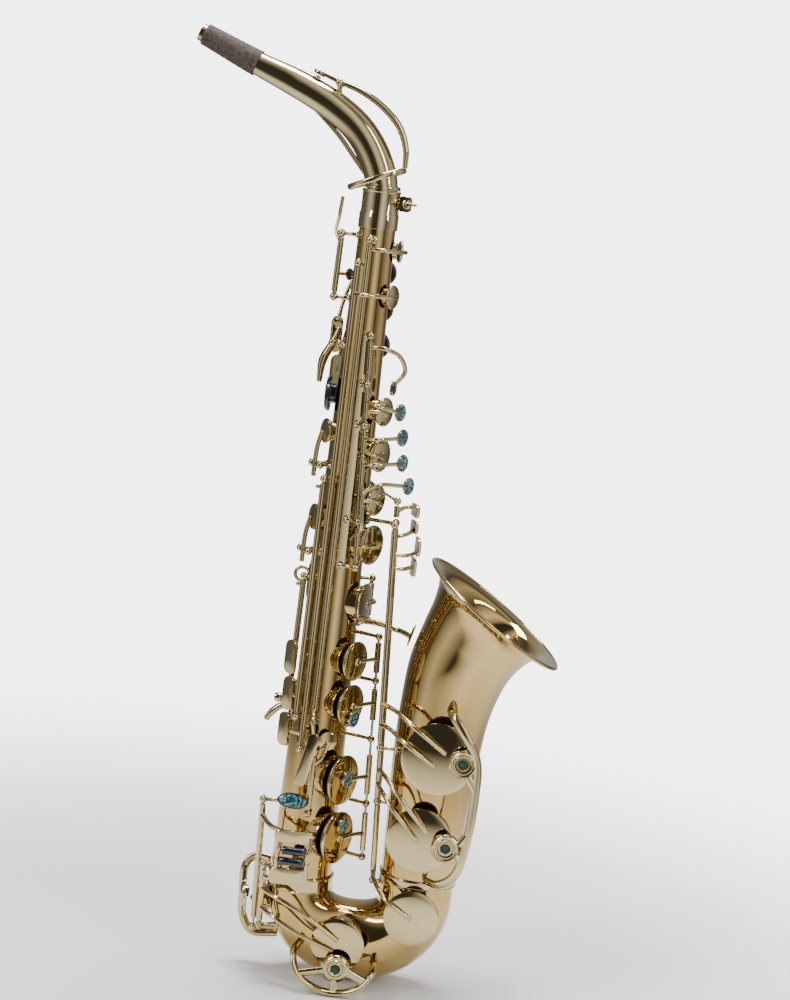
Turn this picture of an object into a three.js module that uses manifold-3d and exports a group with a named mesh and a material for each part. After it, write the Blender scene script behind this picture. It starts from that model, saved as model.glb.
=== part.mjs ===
// Alto saxophone: body, bow and bell, a neck that turns in its receiver, and the full set of
// keys on their rods and posts. Millimetres, +Z up along the body tube, +X towards the bell,
// -Y towards the player's right hand. Keys are drawn shut and then turned to where they rest.
import * as THREE from 'three';
import { mergeVertices } from 'three/addons/utils/BufferGeometryUtils.js';
import Module from 'manifold-3d';

const wasm = await Module();
wasm.setup();

// Driving dimensions
const BODY_FOOT = 0.35;
const BODY_TOP = 480;
const BODY_FOOT_RADIUS = 22.7;
const BODY_TOP_RADIUS = 12.9;
const WALL = 1.2;
const GAP = 0.35;
const BELL_AXIS_X = 84.9;
const BELL_FOOT_RADIUS = 26.8;
const BOW_CENTRE_X = 42;
const BOW_LEVEL = 0;
const BOW_BELL_LEVEL = 20;
const BOW_DEPTH = 64;
const SADDLE_DEPTH = 5.7;
const RIM_WIRE = 2;
const RECEIVER_TOP = 507.5;
const TENON_RADIUS = 11;
const STRAP_RING = [-24.5, 0, 229];
const TUBE = 2.3;
const ROD = 1;
const ROD_HOLE = 1.4;
const POST = 1.7;
const BALL = 2.9;
const PIVOT_GAP = 3.4;
const ARM = 1.6;
const ARM_OFFSET = 0.4;
const CUP_LIP = 3;
const SKIRT = 0.8;
const BODY_SIDES = 26;
const BELL_SIDES = 24;

const LACQUER = { color: 0xb59a5b, roughness: 0.16, metalness: 1 };
const STEEL = { color: 0x8e8f90, roughness: 0.25, metalness: 1 };
const PEARL = { color: 0x3f7f8c, roughness: 0.2, metalness: 0 };
const CORK = { color: 0x6d5542, roughness: 0.9, metalness: 0 };
const NAVY = { color: 0x10162c, roughness: 0.3, metalness: 0 };

const V = (x, y, z) => new THREE.Vector3(x, y, z);
const mix = (a, b, t) => a + (b - a) * t;
const along = (a, b, t) => a.clone().lerp(b, t);
const bodyRadius = (z) => mix(BODY_FOOT_RADIUS, BODY_TOP_RADIUS, z / BODY_TOP);
const outward = (phi) => V(Math.cos(phi * Math.PI / 180), -Math.sin(phi * Math.PI / 180), 0);
const polar = (phi, radius, z) => outward(phi).multiplyScalar(radius).setZ(z);

// A closed geometry with shared corners becomes a solid that can be joined and cut.
function solidOf(geometry, tolerance = 1e-4) {
  const bare = geometry.clone();
  for (const name of Object.keys(bare.attributes)) {
    if (name !== 'position') bare.deleteAttribute(name);
  }
  const merged = mergeVertices(bare, tolerance);
  const triVerts = new Uint32Array(merged.index.array);
  const vertProperties = new Float32Array(merged.attributes.position.array);
  return new wasm.Manifold(new wasm.Mesh({ numProp: 3, vertProperties, triVerts }));
}

const FLATNESS = [0.2, 0.19, 0.17, 0.15, 0.12, 0.1, 0.07, 0.05, 0.03];
const WELD = 1e-3;

function meshOf(solid) {
  const { vertProperties, triVerts } = solid.getMesh();
  const geometry = new THREE.BufferGeometry();
  geometry.setAttribute('position', new THREE.BufferAttribute(new Float32Array(vertProperties), 3));
  geometry.setIndex(new THREE.BufferAttribute(new Uint32Array(triVerts), 1));
  return mergeVertices(geometry, WELD);
}

const largestOf = (solid) => solid.decompose()
  .reduce((largest, piece) => (piece.volume() > largest.volume() ? piece : largest));

// True when every edge of the mesh has exactly two faces.
function isSealed({ index }) {
  const uses = new Map();
  for (let i = 0; i < index.count; i += 3) {
    for (const [a, b] of [[0, 1], [1, 2], [2, 0]]) {
      const ends = [index.getX(i + a), index.getX(i + b)].sort((p, q) => p - q).join();
      uses.set(ends, (uses.get(ends) ?? 0) + 1);
    }
  }
  return [...uses.values()].every((count) => count === 2);
}

// Nearly flat facets and nearly equal corners are merged, as far as the surface stays sealed;
// a crumb that this leaves loose is dropped.
function geometryOf(solid) {
  for (const flatness of FLATNESS) {
    const plain = meshOf(largestOf(solid.asOriginal().simplify(flatness)));
    if (!isSealed(plain)) continue;
    const geometry = meshOf(largestOf(solidOf(plain, WELD)));
    if (!isSealed(geometry)) continue;
    geometry.computeVertexNormals();
    return geometry;
  }
  throw new Error('no sealed mesh');
}

const join = (...solids) => solids.flat().reduce((whole, piece) => whole.add(piece));

// A round bar from one point to another, straight or tapered.
function bar(from, to, radius, endRadius = radius, sides = 8) {
  const length = from.distanceTo(to);
  const geometry = new THREE.CylinderGeometry(endRadius, radius, length, sides);
  const turn = new THREE.Quaternion().setFromUnitVectors(V(0, 1, 0), to.clone().sub(from).normalize());
  geometry.applyQuaternion(turn);
  geometry.translate(...along(from, to, 0.5));
  return solidOf(geometry);
}

const ball = (centre, radius) => solidOf(new THREE.OctahedronGeometry(radius, 1).translate(...centre));

// A wire of even section along a smooth line through the points.
function wire(points, radius = ARM, steps = 2 * (points.length - 1), sides = 5) {
  const round = new THREE.EllipseCurve(0, 0, radius, radius).getPoints(sides);
  const section = new THREE.Shape(round.slice(0, sides));
  const extrudePath = new THREE.CatmullRomCurve3(points);
  return solidOf(new THREE.ExtrudeGeometry(section, { steps, bevelEnabled: false, extrudePath }));
}

// A flat plate with rounded corners: its centre, its normal, its up direction and its size.
function plate(centre, normal, up, width, height, thickness, corner = 2) {
  const shape = new THREE.Shape();
  const [w, h] = [width / 2 - corner, height / 2 - corner];
  shape.absarc(w, h, corner, 0, Math.PI / 2);
  shape.absarc(-w, h, corner, Math.PI / 2, Math.PI);
  shape.absarc(-w, -h, corner, Math.PI, 1.5 * Math.PI);
  shape.absarc(w, -h, corner, 1.5 * Math.PI, 2 * Math.PI);
  const extrusion = { depth: thickness, bevelEnabled: false, curveSegments: 2 };
  const geometry = new THREE.ExtrudeGeometry(shape, extrusion);
  const z = normal.clone().normalize();
  const x = up.clone().cross(z).normalize();
  geometry.translate(0, 0, -thickness / 2);
  geometry.applyMatrix4(new THREE.Matrix4().makeBasis(x, z.clone().cross(x), z).setPosition(centre));
  return solidOf(geometry);
}

// Rings across the XZ plane: each has its inner and outer point there and a half width along Y.
function ringPoint({ inner, outer, wide }, angle) {
  const reach = outer.clone().sub(inner).multiplyScalar(Math.cos(angle) / 2);
  return along(inner, outer, 0.5).add(reach).setY(wide * Math.sin(angle));
}

function ringed(rings, sides, closed) {
  const positions = [];
  const triangles = [];
  for (const ring of rings) {
    for (let j = 0; j < sides; j++) positions.push(...ringPoint(ring, 2 * Math.PI * j / sides));
  }
  const spans = closed ? rings.length : rings.length - 1;
  for (let i = 0; i < spans; i++) {
    const next = (i + 1) % rings.length;
    for (let j = 0; j < sides; j++) {
      const k = (j + 1) % sides;
      const corners = [i * sides + j, i * sides + k, next * sides + k, next * sides + j];
      triangles.push(corners[0], corners[1], corners[2], corners[0], corners[2], corners[3]);
    }
  }
  if (!closed) {
    for (const [ring, ends] of [[0, [1, 0]], [rings.length - 1, [0, 1]]]) {
      const hub = positions.length / 3;
      positions.push(...along(rings[ring].inner, rings[ring].outer, 0.5));
      for (let j = 0; j < sides; j++) {
        const pair = [ring * sides + j, ring * sides + (j + 1) % sides];
        triangles.push(hub, pair[ends[0]], pair[ends[1]]);
      }
    }
  }
  const geometry = new THREE.BufferGeometry();
  geometry.setAttribute('position', new THREE.Float32BufferAttribute(positions, 3));
  geometry.setIndex(triangles);
  return solidOf(geometry);
}

// The ring moved inwards by an amount, for the bore of a tube.
function shrink({ inner, outer, wide }, amount) {
  const step = outer.clone().sub(inner).normalize().multiplyScalar(amount);
  return { inner: inner.clone().add(step), outer: outer.clone().sub(step), wide: wide - amount };
}

function raised({ inner, outer, wide }, z) {
  return { inner: inner.clone().setZ(z), outer: outer.clone().setZ(z), wide };
}

// The same ring further along the tube, so that a bore runs out past both ends.
function beyond(ring, next, distance) {
  const middle = along(ring.inner, ring.outer, 0.5);
  const step = middle.sub(along(next.inner, next.outer, 0.5)).setLength(distance);
  return { inner: ring.inner.clone().add(step), outer: ring.outer.clone().add(step), wide: ring.wide };
}

function bore(rings, wall, sides) {
  const inside = rings.map((ring) => shrink(ring, wall));
  const last = inside.length - 1;
  const first = beyond(inside[0], inside[1], 1);
  return ringed([first, ...inside, beyond(inside[last], inside[last - 1], 1)], sides, false);
}

// A post with a ball at its head, standing on a base point.
const post = (foot, head, radius = POST) => join(bar(foot, head, radius, radius * 0.8, 5), ball(head, BALL));

// A key cup: a shallow dish whose open face looks back along its axis.
function cup(face, axis, radius, height) {
  const back = face.clone().addScaledVector(axis, height);
  const shoulder = along(face, back, 0.65);
  const sides = radius > 14 ? 20 : 12;
  return join(
    bar(face, shoulder, radius, radius, sides),
    bar(along(face, back, 0.5), back, radius * 0.97, radius * 0.72, sides),
  );
}

// Tone holes of the body tube: height, angle from the front towards -Y, bore, chimney height.
const BODY_HOLES = {
  high_fs: { z: 466, phi: -8, bore: 5, rise: 2.6 },
  high_f: { z: 450, phi: -60, bore: 5.5, rise: 2.6 },
  high_e: { z: 434, phi: 25, bore: 5.5, rise: 2.6 },
  high_eb: { z: 424, phi: -60, bore: 6, rise: 2.6 },
  high_d: { z: 398, phi: -60, bore: 6.5, rise: 2.6 },
  c: { z: 353, phi: 22, bore: 7.5, rise: 3 },
  side_c: { z: 335, phi: 152, bore: 6, rise: 3 },
  b: { z: 322, phi: 22, bore: 9.2, rise: 3 },
  a: { z: 290, phi: 22, bore: 8.5, rise: 3 },
  side_bb: { z: 273, phi: 152, bore: 6.5, rise: 3 },
  g: { z: 257.5, phi: 22, bore: 11.5, rise: 3 },
  gs: { z: 214, phi: 14, bore: 12, rise: 3 },
  fs: { z: 174, phi: 38, bore: 11.5, rise: 3.5 },
  f: { z: 141.5, phi: 38, bore: 12.5, rise: 3.5 },
  fs_trill: { z: 115, phi: 68, bore: 4, rise: 3 },
  e: { z: 87, phi: 38, bore: 15.3, rise: 3.5 },
  d: { z: 44.5, phi: 38, bore: 16.2, rise: 3.5 },
};
const CUP_HEIGHT = 4;

function holeFrame(hole) {
  const axis = outward(hole.phi);
  const top = bodyRadius(hole.z) + hole.rise;
  const face = polar(hole.phi, top + GAP, hole.z);
  return { axis, top, face, radius: hole.bore + CUP_LIP };
}

// --- Body, bow and bell ---------------------------------------------------------------------

const BODY_POSTS = [];

function bodyTube() {
  const [foot, top] = [V(0, 0, BODY_FOOT), V(0, 0, BODY_TOP)];
  const footRadius = bodyRadius(BODY_FOOT);
  let outside = bar(foot, top, footRadius, BODY_TOP_RADIUS, BODY_SIDES);
  const below = foot.clone().setZ(BODY_FOOT - 1);
  const above = top.clone().setZ(BODY_TOP + 1);
  let inside = bar(below, above, footRadius - WALL, BODY_TOP_RADIUS - WALL, BODY_SIDES);
  for (const hole of Object.values(BODY_HOLES)) {
    const radius = bodyRadius(hole.z);
    const root = polar(hole.phi, radius * 0.45, hole.z);
    const sides = hole.bore > 9 ? 16 : 8;
    const rim = hole.bore + SKIRT;
    outside = outside.add(bar(root, polar(hole.phi, radius + hole.rise, hole.z), rim, rim, sides));
    inside = inside.add(bar(root, polar(hole.phi, radius + 9, hole.z), hole.bore, hole.bore, sides));
  }
  return outside.add(join(BODY_POSTS)).subtract(inside);
}

function bowRing(angle) {
  const bodyReach = BOW_CENTRE_X + BODY_FOOT_RADIUS;
  const bellReach = BELL_AXIS_X + BELL_FOOT_RADIUS - BOW_CENTRE_X;
  const reach = mix(bodyReach, bellReach, angle / Math.PI);
  const saddleRight = BELL_AXIS_X - BELL_FOOT_RADIUS;
  const saddleX = (BODY_FOOT_RADIUS + saddleRight) / 2;
  const saddleReach = (saddleRight - BODY_FOOT_RADIUS) / 2;
  return {
    outer: V(BOW_CENTRE_X - reach * Math.cos(angle), 0, BOW_LEVEL - BOW_DEPTH * Math.sin(angle)),
    inner: V(saddleX - saddleReach * Math.cos(angle), 0, BOW_LEVEL - SADDLE_DEPTH * Math.sin(angle)),
    wide: mix(BODY_FOOT_RADIUS, BELL_FOOT_RADIUS, angle / Math.PI) + 1.5 * Math.sin(angle),
  };
}

// Tone holes that look towards -Y: centre, bore, the height of the chimney top and the cup size.
const SIDE_HOLES = {
  low_c: { x: 35.5, z: -28.5, bore: 15.5, top: -31.5, cup: 19.5 },
  low_cs: { x: 84.8, z: -2.5, bore: 16.5, top: -33, cup: 20 },
  low_b: { x: 85.5, z: 56, bore: 19.5, top: -34.5, cup: 23.5 },
  low_bb: { x: 91, z: 117, bore: 22, top: -36.5, cup: 26 },
};

function sideHole(hole, radius, depth) {
  return bar(V(hole.x, -8, hole.z), V(hole.x, depth, hole.z), radius, radius, 22);
}

const BOW_STEPS = 11;
const EB_HOLE = V(-26.5, 0, -12);
const EB_BORE = 8.5;
const CUT_DEPTH = -60;

function ebHole(radius, reach) {
  return bar(V(-10, 0, EB_HOLE.z), V(EB_HOLE.x - reach, 0, EB_HOLE.z), radius, radius, 14);
}

function bowRings() {
  const rings = Array.from({ length: BOW_STEPS + 1 }, (_, i) => bowRing(Math.PI * i / BOW_STEPS));
  const foot = rings[BOW_STEPS];
  return [...rings, raised(foot, BOW_BELL_LEVEL)];
}

// The U-bend, with the chimneys of low C and low C sharp on its side and of E flat at its back.
function bow() {
  const rings = bowRings();
  const inside = bore(rings, WALL, BELL_SIDES);
  const { low_c: c, low_cs: cs } = SIDE_HOLES;
  const whole = join(
    ringed(rings, BELL_SIDES, false),
    sideHole(c, c.bore + SKIRT, c.top),
    sideHole(cs, cs.bore + SKIRT, cs.top),
    ebHole(EB_BORE + SKIRT, 0),
    ...BOW_POSTS,
  );
  const holes = [sideHole(c, c.bore, CUT_DEPTH), sideHole(cs, cs.bore, CUT_DEPTH), ebHole(EB_BORE, 9)];
  return whole.subtract(join(inside, ...holes));
}

// The bell's left and right outlines in the XZ plane, from the foot to the rim.
const BELL_FOOT = BOW_BELL_LEVEL + GAP;
const BELL_LEFT = [
  [58.1, BELL_FOOT], [57.1, 60], [56.2, 110], [57.0, 146], [60.0, 181],
  [66.5, 205], [72.6, 226], [73.6, 240], [67.6, 250.6],
];
const BELL_RIGHT = [
  [111.7, BELL_FOOT], [115.2, 60], [118.4, 110], [122.8, 144], [131.5, 169.5],
  [140.8, 182.9], [150.5, 190.3], [157, 190.6], [165.0, 185.4],
];

const curveOf = (places) => new THREE.CatmullRomCurve3(places.map(([x, z]) => V(x, 0, z)));

function bellRings(steps) {
  const curves = [BELL_LEFT, BELL_RIGHT].map((side) => curveOf(side));
  const rings = [];
  for (let i = 0; i <= steps; i++) {
    const [inner, outer] = curves.map((curve) => curve.getPoint(i / steps));
    rings.push({ inner, outer, wide: inner.distanceTo(outer) / 2 });
  }
  return rings;
}

// The wall is as thick across the flat flare as across the steep throat, so its inside moves
// inwards at the foot and forwards at the rim, where the edge is rolled over a wire.
function bell() {
  const rings = bellRings(14);
  const { low_b: b, low_bb: bb } = SIDE_HOLES;
  const last = rings.length - 1;
  const inside = rings.map((ring, i) => (
    i === 0 ? shrink(ring, WALL) : beyond(shrink(ring, WALL), rings[i - 1], WALL * (i / last) ** 3)));
  const rim = rings[last];
  const past = beyond(rim, rings[last - 1], RIM_WIRE);
  const lip = [shrink(rim, -RIM_WIRE / 2), shrink(past, -RIM_WIRE / 2), shrink(past, RIM_WIRE)];
  const shell = ringed([...rings, ...lip, ...inside.slice(0, last).reverse()], BELL_SIDES, true);
  const throat = ringed([beyond(inside[0], inside[1], 1), ...inside.slice(0, last)], BELL_SIDES, false);
  const chimneys = [b, bb].map((hole) => sideHole(hole, hole.bore + SKIRT, hole.top));
  const holes = [b, bb].map((hole) => sideHole(hole, hole.bore, CUT_DEPTH));
  return join(shell, join(chimneys).subtract(throat), ...BELL_POSTS).subtract(join(holes));
}

// An outline of radius and height turned about the Z axis.
function lathe(outline, sides) {
  const corners = outline.map(([r, z]) => new THREE.Vector2(r, z));
  return new THREE.LatheGeometry(corners, sides).rotateX(Math.PI / 2);
}

// A flat band round the joint between the bow and a straight tube.
function band(x, radius, low, high) {
  const [inner, outer] = [radius + GAP, radius + 1.6];
  const outline = [[inner, low], [outer, low], [outer, high], [inner, high], [inner, low]];
  return solidOf(lathe(outline, 24).translate(x, 0, 0));
}

// --- Neck -----------------------------------------------------------------------------------

const NECK_LINE = [
  [0, 486], [0, 509], [-3, 519], [-10.5, 534], [-23, 549],
  [-42, 562], [-70, 574.5], [-97.5, 584.5], [-139.5, 601.6],
];
const NECK_RADII = [TENON_RADIUS, TENON_RADIUS, 11.6, 11.5, 11.2, 10.8, 9.9, 8.3, 6.2];
const CORK_START = 0.872;
const NECK_SIDES = 18;
const neckCurve = curveOf(NECK_LINE);

function neckRadius(t) {
  const place = t * (NECK_RADII.length - 1);
  const low = Math.min(Math.floor(place), NECK_RADII.length - 2);
  return mix(NECK_RADII[low], NECK_RADII[low + 1], place - low);
}

function neckRing(t, extra) {
  const centre = neckCurve.getPoint(t);
  const heading = neckCurve.getTangent(t);
  const reach = V(heading.z, 0, -heading.x).setLength(neckRadius(t) + extra);
  return { inner: centre.clone().sub(reach), outer: centre.clone().add(reach), wide: neckRadius(t) + extra };
}

const PIP_PLACE = 0.7;
const PIP = neckCurve.getPoint(PIP_PLACE);
const PIVOT = V(-38, 0, 577.5);

// The direction away from the neck's bend, square to its centre line.
function neckLift(t) {
  const heading = neckCurve.getTangent(t);
  return V(heading.z, 0, -heading.x);
}

// How far the stiffening bar under the neck stands from its centre line along the way.
const BRACE_DEPTHS = [[0.27, 11], [0.38, 13.5], [0.52, 13.5], [0.66, 9.5]];

function neckTube() {
  const rings = [];
  for (let i = 0; i <= 14; i++) rings.push(neckRing(i / 14, 0));
  const collar = bar(V(0, 0, RECEIVER_TOP + GAP), V(0, 0, RECEIVER_TOP + 3.5), 13.2, 12.6, 28);
  const pip = bar(PIP, PIP.clone().addScaledVector(neckLift(PIP_PLACE), 12.4), 2, 2, 8);
  const ears = [-1, 1].map((side) => (
    post(V(PIVOT.x, side * 4.5, PIVOT.z - 9), V(PIVOT.x, side * 7.6, PIVOT.z), 1.3)));
  const underside = BRACE_DEPTHS.map(([t, depth]) => (
    neckCurve.getPoint(t).addScaledVector(neckLift(t), -depth)));
  const whole = join(ringed(rings, NECK_SIDES, false), collar, pip, ...ears, wire(underside, 1.8, 12));
  return whole.subtract(bore(rings, WALL, NECK_SIDES));
}

function neckCork() {
  const [outside, inside] = [[], []];
  for (let i = 0; i <= 4; i++) {
    const t = mix(CORK_START, 0.995, i / 4);
    outside.push(neckRing(t, mix(1.1, 1.5, i / 4)));
    inside.push(neckRing(t, GAP));
  }
  return ringed([...outside, ...inside.reverse()], NECK_SIDES, true);
}

function neckReceiver() {
  const [inner, foot] = [TENON_RADIUS + 0.7, BODY_TOP + GAP];
  const outline = [
    [inner, foot], [14.1, foot], [14.1, 491.5], [13.4, 492.5],
    [13.4, RECEIVER_TOP], [inner, RECEIVER_TOP], [inner, foot],
  ];
  const sleeve = solidOf(lathe(outline, 18));
  const lugs = [-1, 1].map((side) => (
    plate(V(17.5, side * 2.6, 499.5), V(0, 1, 0), V(0, 0, 1), 9, 11, 2.4, 2)));
  const hole = bar(V(19, -8, 499.5), V(19, 8, 499.5), 1.6 + GAP, 1.6 + GAP, 10);
  return join(sleeve, ...lugs).subtract(hole);
}

// The wing screw that closes the receiver round the tenon.
function clampScrew() {
  const shank = bar(V(19, 6.5, 499.5), V(19, -8, 499.5), 1.6, 1.6, 10);
  const head = bar(V(19, -4.5, 499.5), V(19, -7.5, 499.5), 3.2, 3.2, 12);
  const wing = plate(V(21.5, -10.5, 499.5), V(0, 0, 1), V(1, 0, 0), 7.5, 10, 1.8, 3);
  return join(shank, head, wing);
}

// --- Small fixed parts ----------------------------------------------------------------------

function strapRing() {
  const [x, , z] = STRAP_RING;
  const ring = solidOf(new THREE.TorusGeometry(5, 1.4, 6, 16).rotateX(Math.PI / 2).translate(x, 0, z));
  const surface = -bodyRadius(z) - GAP;
  return join(ring, plate(V(surface - 0.9, 0, z - 3), V(1, 0, 0), V(0, 0, 1), 9, 26, 1.6, 2));
}

function thumbHook() {
  const surface = -bodyRadius(126) - GAP;
  const base = plate(V(surface - 1.1, 0, 126), V(1, 0, 0), V(0, 0, 1), 12, 30, 2, 3);
  const bend = [[-1, 131], [-8, 131], [-14, 126], [-18.5, 119]].map(([step, z]) => V(surface + step, 0, z));
  return join(base, wire(bend, 2.6, 10, 8));
}

function thumbHookScrew() {
  const surface = -bodyRadius(139) - GAP;
  const shank = bar(V(surface - 2.6, 0, 137), V(surface - 9, 0, 137), 1.6, 1.6, 8);
  return join(shank, ball(V(surface - 11, 0, 137), 3.4));
}

function thumbRest() {
  const surface = -bodyRadius(361) - GAP;
  const stem = bar(V(surface, 0, 361), V(surface - 4, 0, 361), 7, 7, 16);
  return join(stem, bar(V(surface - 3, 0, 361), V(surface - 7.5, 0, 361), 13, 10, 24));
}

// A rib is a thin strip along the tube that carries a row of posts.
function rib(phi, low, high, heads) {
  const sleeve = (from, to, gap) => (
    bar(V(0, 0, from), V(0, 0, to), bodyRadius(from) + gap, bodyRadius(to) + gap, BODY_SIDES));
  const strip = sleeve(low, high, 1.6).subtract(sleeve(low - 1, high + 1, GAP));
  const middle = polar(phi, 30, (low + high) / 2);
  const sector = plate(middle, outward(phi + 90), V(0, 0, 1), 60, high - low + 2, 6, 1);
  const feet = heads.map((head) => post(polar(phi, bodyRadius(head.z) + POST + 0.5, head.z), head));
  return join(strip.intersect(sector), ...feet);
}

// --- Rods and key building ------------------------------------------------------------------

// A hinge line: two ends, and the point on it at any height.
function line(low, high) {
  const at = (z) => along(low, high, (z - low.z) / (high.z - low.z));
  return { low, high, at, axis: high.clone().sub(low).normalize() };
}

const LINES = {
  upper: line(V(14.5, -23, 240), V(5.5, -20, 412)),
  lower: line(V(43, 1, 24), V(35.5, 1, 198)),
  b: line(V(49.5, -10, 72), V(38.3, -10, 275)),
  bb: line(V(47.2, -17, 112), V(38.3, -17, 275)),
  cs: line(V(52.8, -3, 12), V(38.3, -3, 275)),
  high_fs: line(V(-1.5, -31, 118), V(-2.5, -23, 470)),
  high_e: line(V(-8.5, -30, 108), V(-9, -21.5, 457)),
  side_c: line(V(-15, -27, 130), V(-15, -23.5, 303)),
  side_bb: line(V(-22.8, -11.5, 152), V(-22, -11.5, 230)),
  palm: line(V(-3.5, 25, 384), V(-3, 22.5, 464)),
  octave: line(V(-25, -4, 427), V(-24, -4, 494)),
  pinky_eb: line(V(-29.5, -14, -28), V(-32.5, -12, 64)),
  pinky_c: line(V(-24.5, -19.5, -28), V(-25.5, -20, 18)),
  trill: line(V(2, -31, 62), V(2, -31, 108)),
  gs: line(V(25, 18, 198), V(25, 18, 230)),
};

const hingeTube = (hinge, low, high) => bar(hinge.at(low), hinge.at(high), TUBE, TUBE, 8);
const sleeveTube = (hinge, low, high) => hingeTube(hinge, low, high)
  .subtract(bar(hinge.at(low - 1), hinge.at(high + 1), ROD_HOLE, ROD_HOLE, 8));

// The arm that reaches from a hinge over the edge of a cup to the middle of its back.
function cupArm(from, frame, side, lift = 1) {
  const back = frame.face.clone().addScaledVector(frame.axis, CUP_HEIGHT + lift).add(V(0, 0, ARM_OFFSET));
  const edge = back.clone().addScaledVector(side, frame.radius * 0.93);
  return wire([from, edge, back], ARM, 7);
}

function bodyCup(hole) {
  const frame = holeFrame(hole);
  return { frame, solid: cup(frame.face, frame.axis, frame.radius, CUP_HEIGHT) };
}

// A key on a long line whose cup shuts a body hole; extras are touches, pearls cups and arms.
function bodyKey(hole, hinge, low, high, sideSign, extras = [], hollow = false) {
  const armFoot = Math.min(Math.max(hole.z, low + 2), high - 2);
  const { frame, solid } = bodyCup(hole);
  const side = outward(hole.phi + 90 * sideSign);
  const tube = hollow ? sleeveTube(hinge, low, high) : hingeTube(hinge, low, high);
  let whole = join(tube, solid, cupArm(hinge.at(armFoot), frame, side), ...extras);
  if (hollow) whole = whole.subtract(bar(hinge.at(low - 1), hinge.at(high + 1), ROD_HOLE, ROD_HOLE, 8));
  return whole;
}

// A small round holder for a pearl, with its open face along the axis.
function pearlCup(centre, axis, radius = 5.6, depth = 2.6) {
  return bar(centre.clone().addScaledVector(axis, -depth), centre, radius, radius, 10);
}

// --- Assembly -------------------------------------------------------------------------------

// The part's own origin is the centre of the strap ring.
const saxophone = new THREE.Group();
const SHIFT = V(...STRAP_RING).negate();

function addPart(name, solid, finish = LACQUER, body = 'root') {
  const geometry = geometryOf(solid.translate(SHIFT.toArray()));
  const mesh = new THREE.Mesh(geometry, new THREE.MeshStandardMaterial({ ...finish, name }));
  mesh.name = name;
  mesh.userData.body = body;
  saxophone.add(mesh);
  return mesh;
}

// The turn about a hinge line by the angle at which a key rests.
function restTurn(hinge, degrees) {
  const turn = new THREE.Quaternion().setFromAxisAngle(hinge.axis, degrees * Math.PI / 180);
  const shift = hinge.low.clone().sub(hinge.low.clone().applyQuaternion(turn));
  return new THREE.Matrix4().compose(shift, turn, V(1, 1, 1));
}

// A moving part: its hinge, how far it is turned at rest, and how far it can turn from there.
// A part carried by a key is turned with that key.
function addKey(name, solid, hinge, rest, range, options = {}) {
  const turn = options.carrier ?? restTurn(hinge, rest);
  const mesh = addPart(name, solid.transform(turn.elements), options.finish ?? LACQUER, name);
  const at = hinge.low.clone().applyMatrix4(turn).add(SHIFT).toArray();
  const axis = hinge.axis.clone().transformDirection(turn).toArray();
  mesh.userData.joint = { at, axis, range, ...options.joint };
  return mesh;
}

// Posts soldered to the body tube, the bow and the bell, at the two ends of a hinge tube.
function endPosts(hinge, low, high, feet) {
  return [low - PIVOT_GAP, high + PIVOT_GAP].map((z, i) => post(feet[i], hinge.at(z)));
}

const onBody = (phi, z) => polar(phi, bodyRadius(z) - 0.6, z);
function bodyFeet(hinge, low, high, phi) {
  return endPosts(hinge, low, high, [onBody(phi, low - PIVOT_GAP), onBody(phi, high + PIVOT_GAP)]);
}

// Key tubes along their lines: from and to heights.
const SPAN = {
  front_f: [378, 402],
  c: [348, 366],
  b: [324, 338],
  a: [280, 322],
  g: [246, 270],
  fs: [164, 186],
  f: [129, 152],
  e: [74, 103],
  d: [32, 60],
  high_f: [442, 458],
  high_eb: [416, 432],
  high_d: [390, 406],
  high_fs: [133, 469],
  high_e: [112, 452],
  side_c: [134, 299],
  side_bb: [156, 226],
  trill: [66, 104],
  eb: [-24, 60],
  low_c: [-24, 14],
  low_cs: [15.5, 251],
  cs_touch: [254, 271],
  gs_touch: [279, 287],
  gs: [202, 226],
  low_b: [76, 271],
  low_bb: [117, 271],
  octave: [433, 471],
};

// The short two-piece side keys: a hinge square to the body below the cup.
function sideHinge(hole, z) {
  const centre = polar(hole.phi, bodyRadius(z) + 9.5, z);
  const across = outward(hole.phi + 90);
  return line(centre.clone().addScaledVector(across, -4), centre.clone().addScaledVector(across, 4));
}

const HINGE_RISE = 24;
const SIDE_HINGES = {
  side_c: sideHinge(BODY_HOLES.side_c, BODY_HOLES.side_c.z - HINGE_RISE),
  side_bb: sideHinge(BODY_HOLES.side_bb, BODY_HOLES.side_bb.z - HINGE_RISE),
};

function sideHingePosts(hinge) {
  return [[hinge.low, -PIVOT_GAP], [hinge.high, PIVOT_GAP]].map(([end, step]) => {
    const head = end.clone().addScaledVector(hinge.axis, step);
    const foot = head.clone().setZ(0).setLength(bodyRadius(head.z) - 0.6).setZ(head.z);
    return post(foot, head);
  });
}

const THUMB_PIVOT = V(-21.5, 0, 398);
const OCTAVE_PAD = { z: 446, phi: 202 };
const OCTAVE_SEAT = polar(OCTAVE_PAD.phi, bodyRadius(OCTAVE_PAD.z) + 2.5, OCTAVE_PAD.z);

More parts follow.
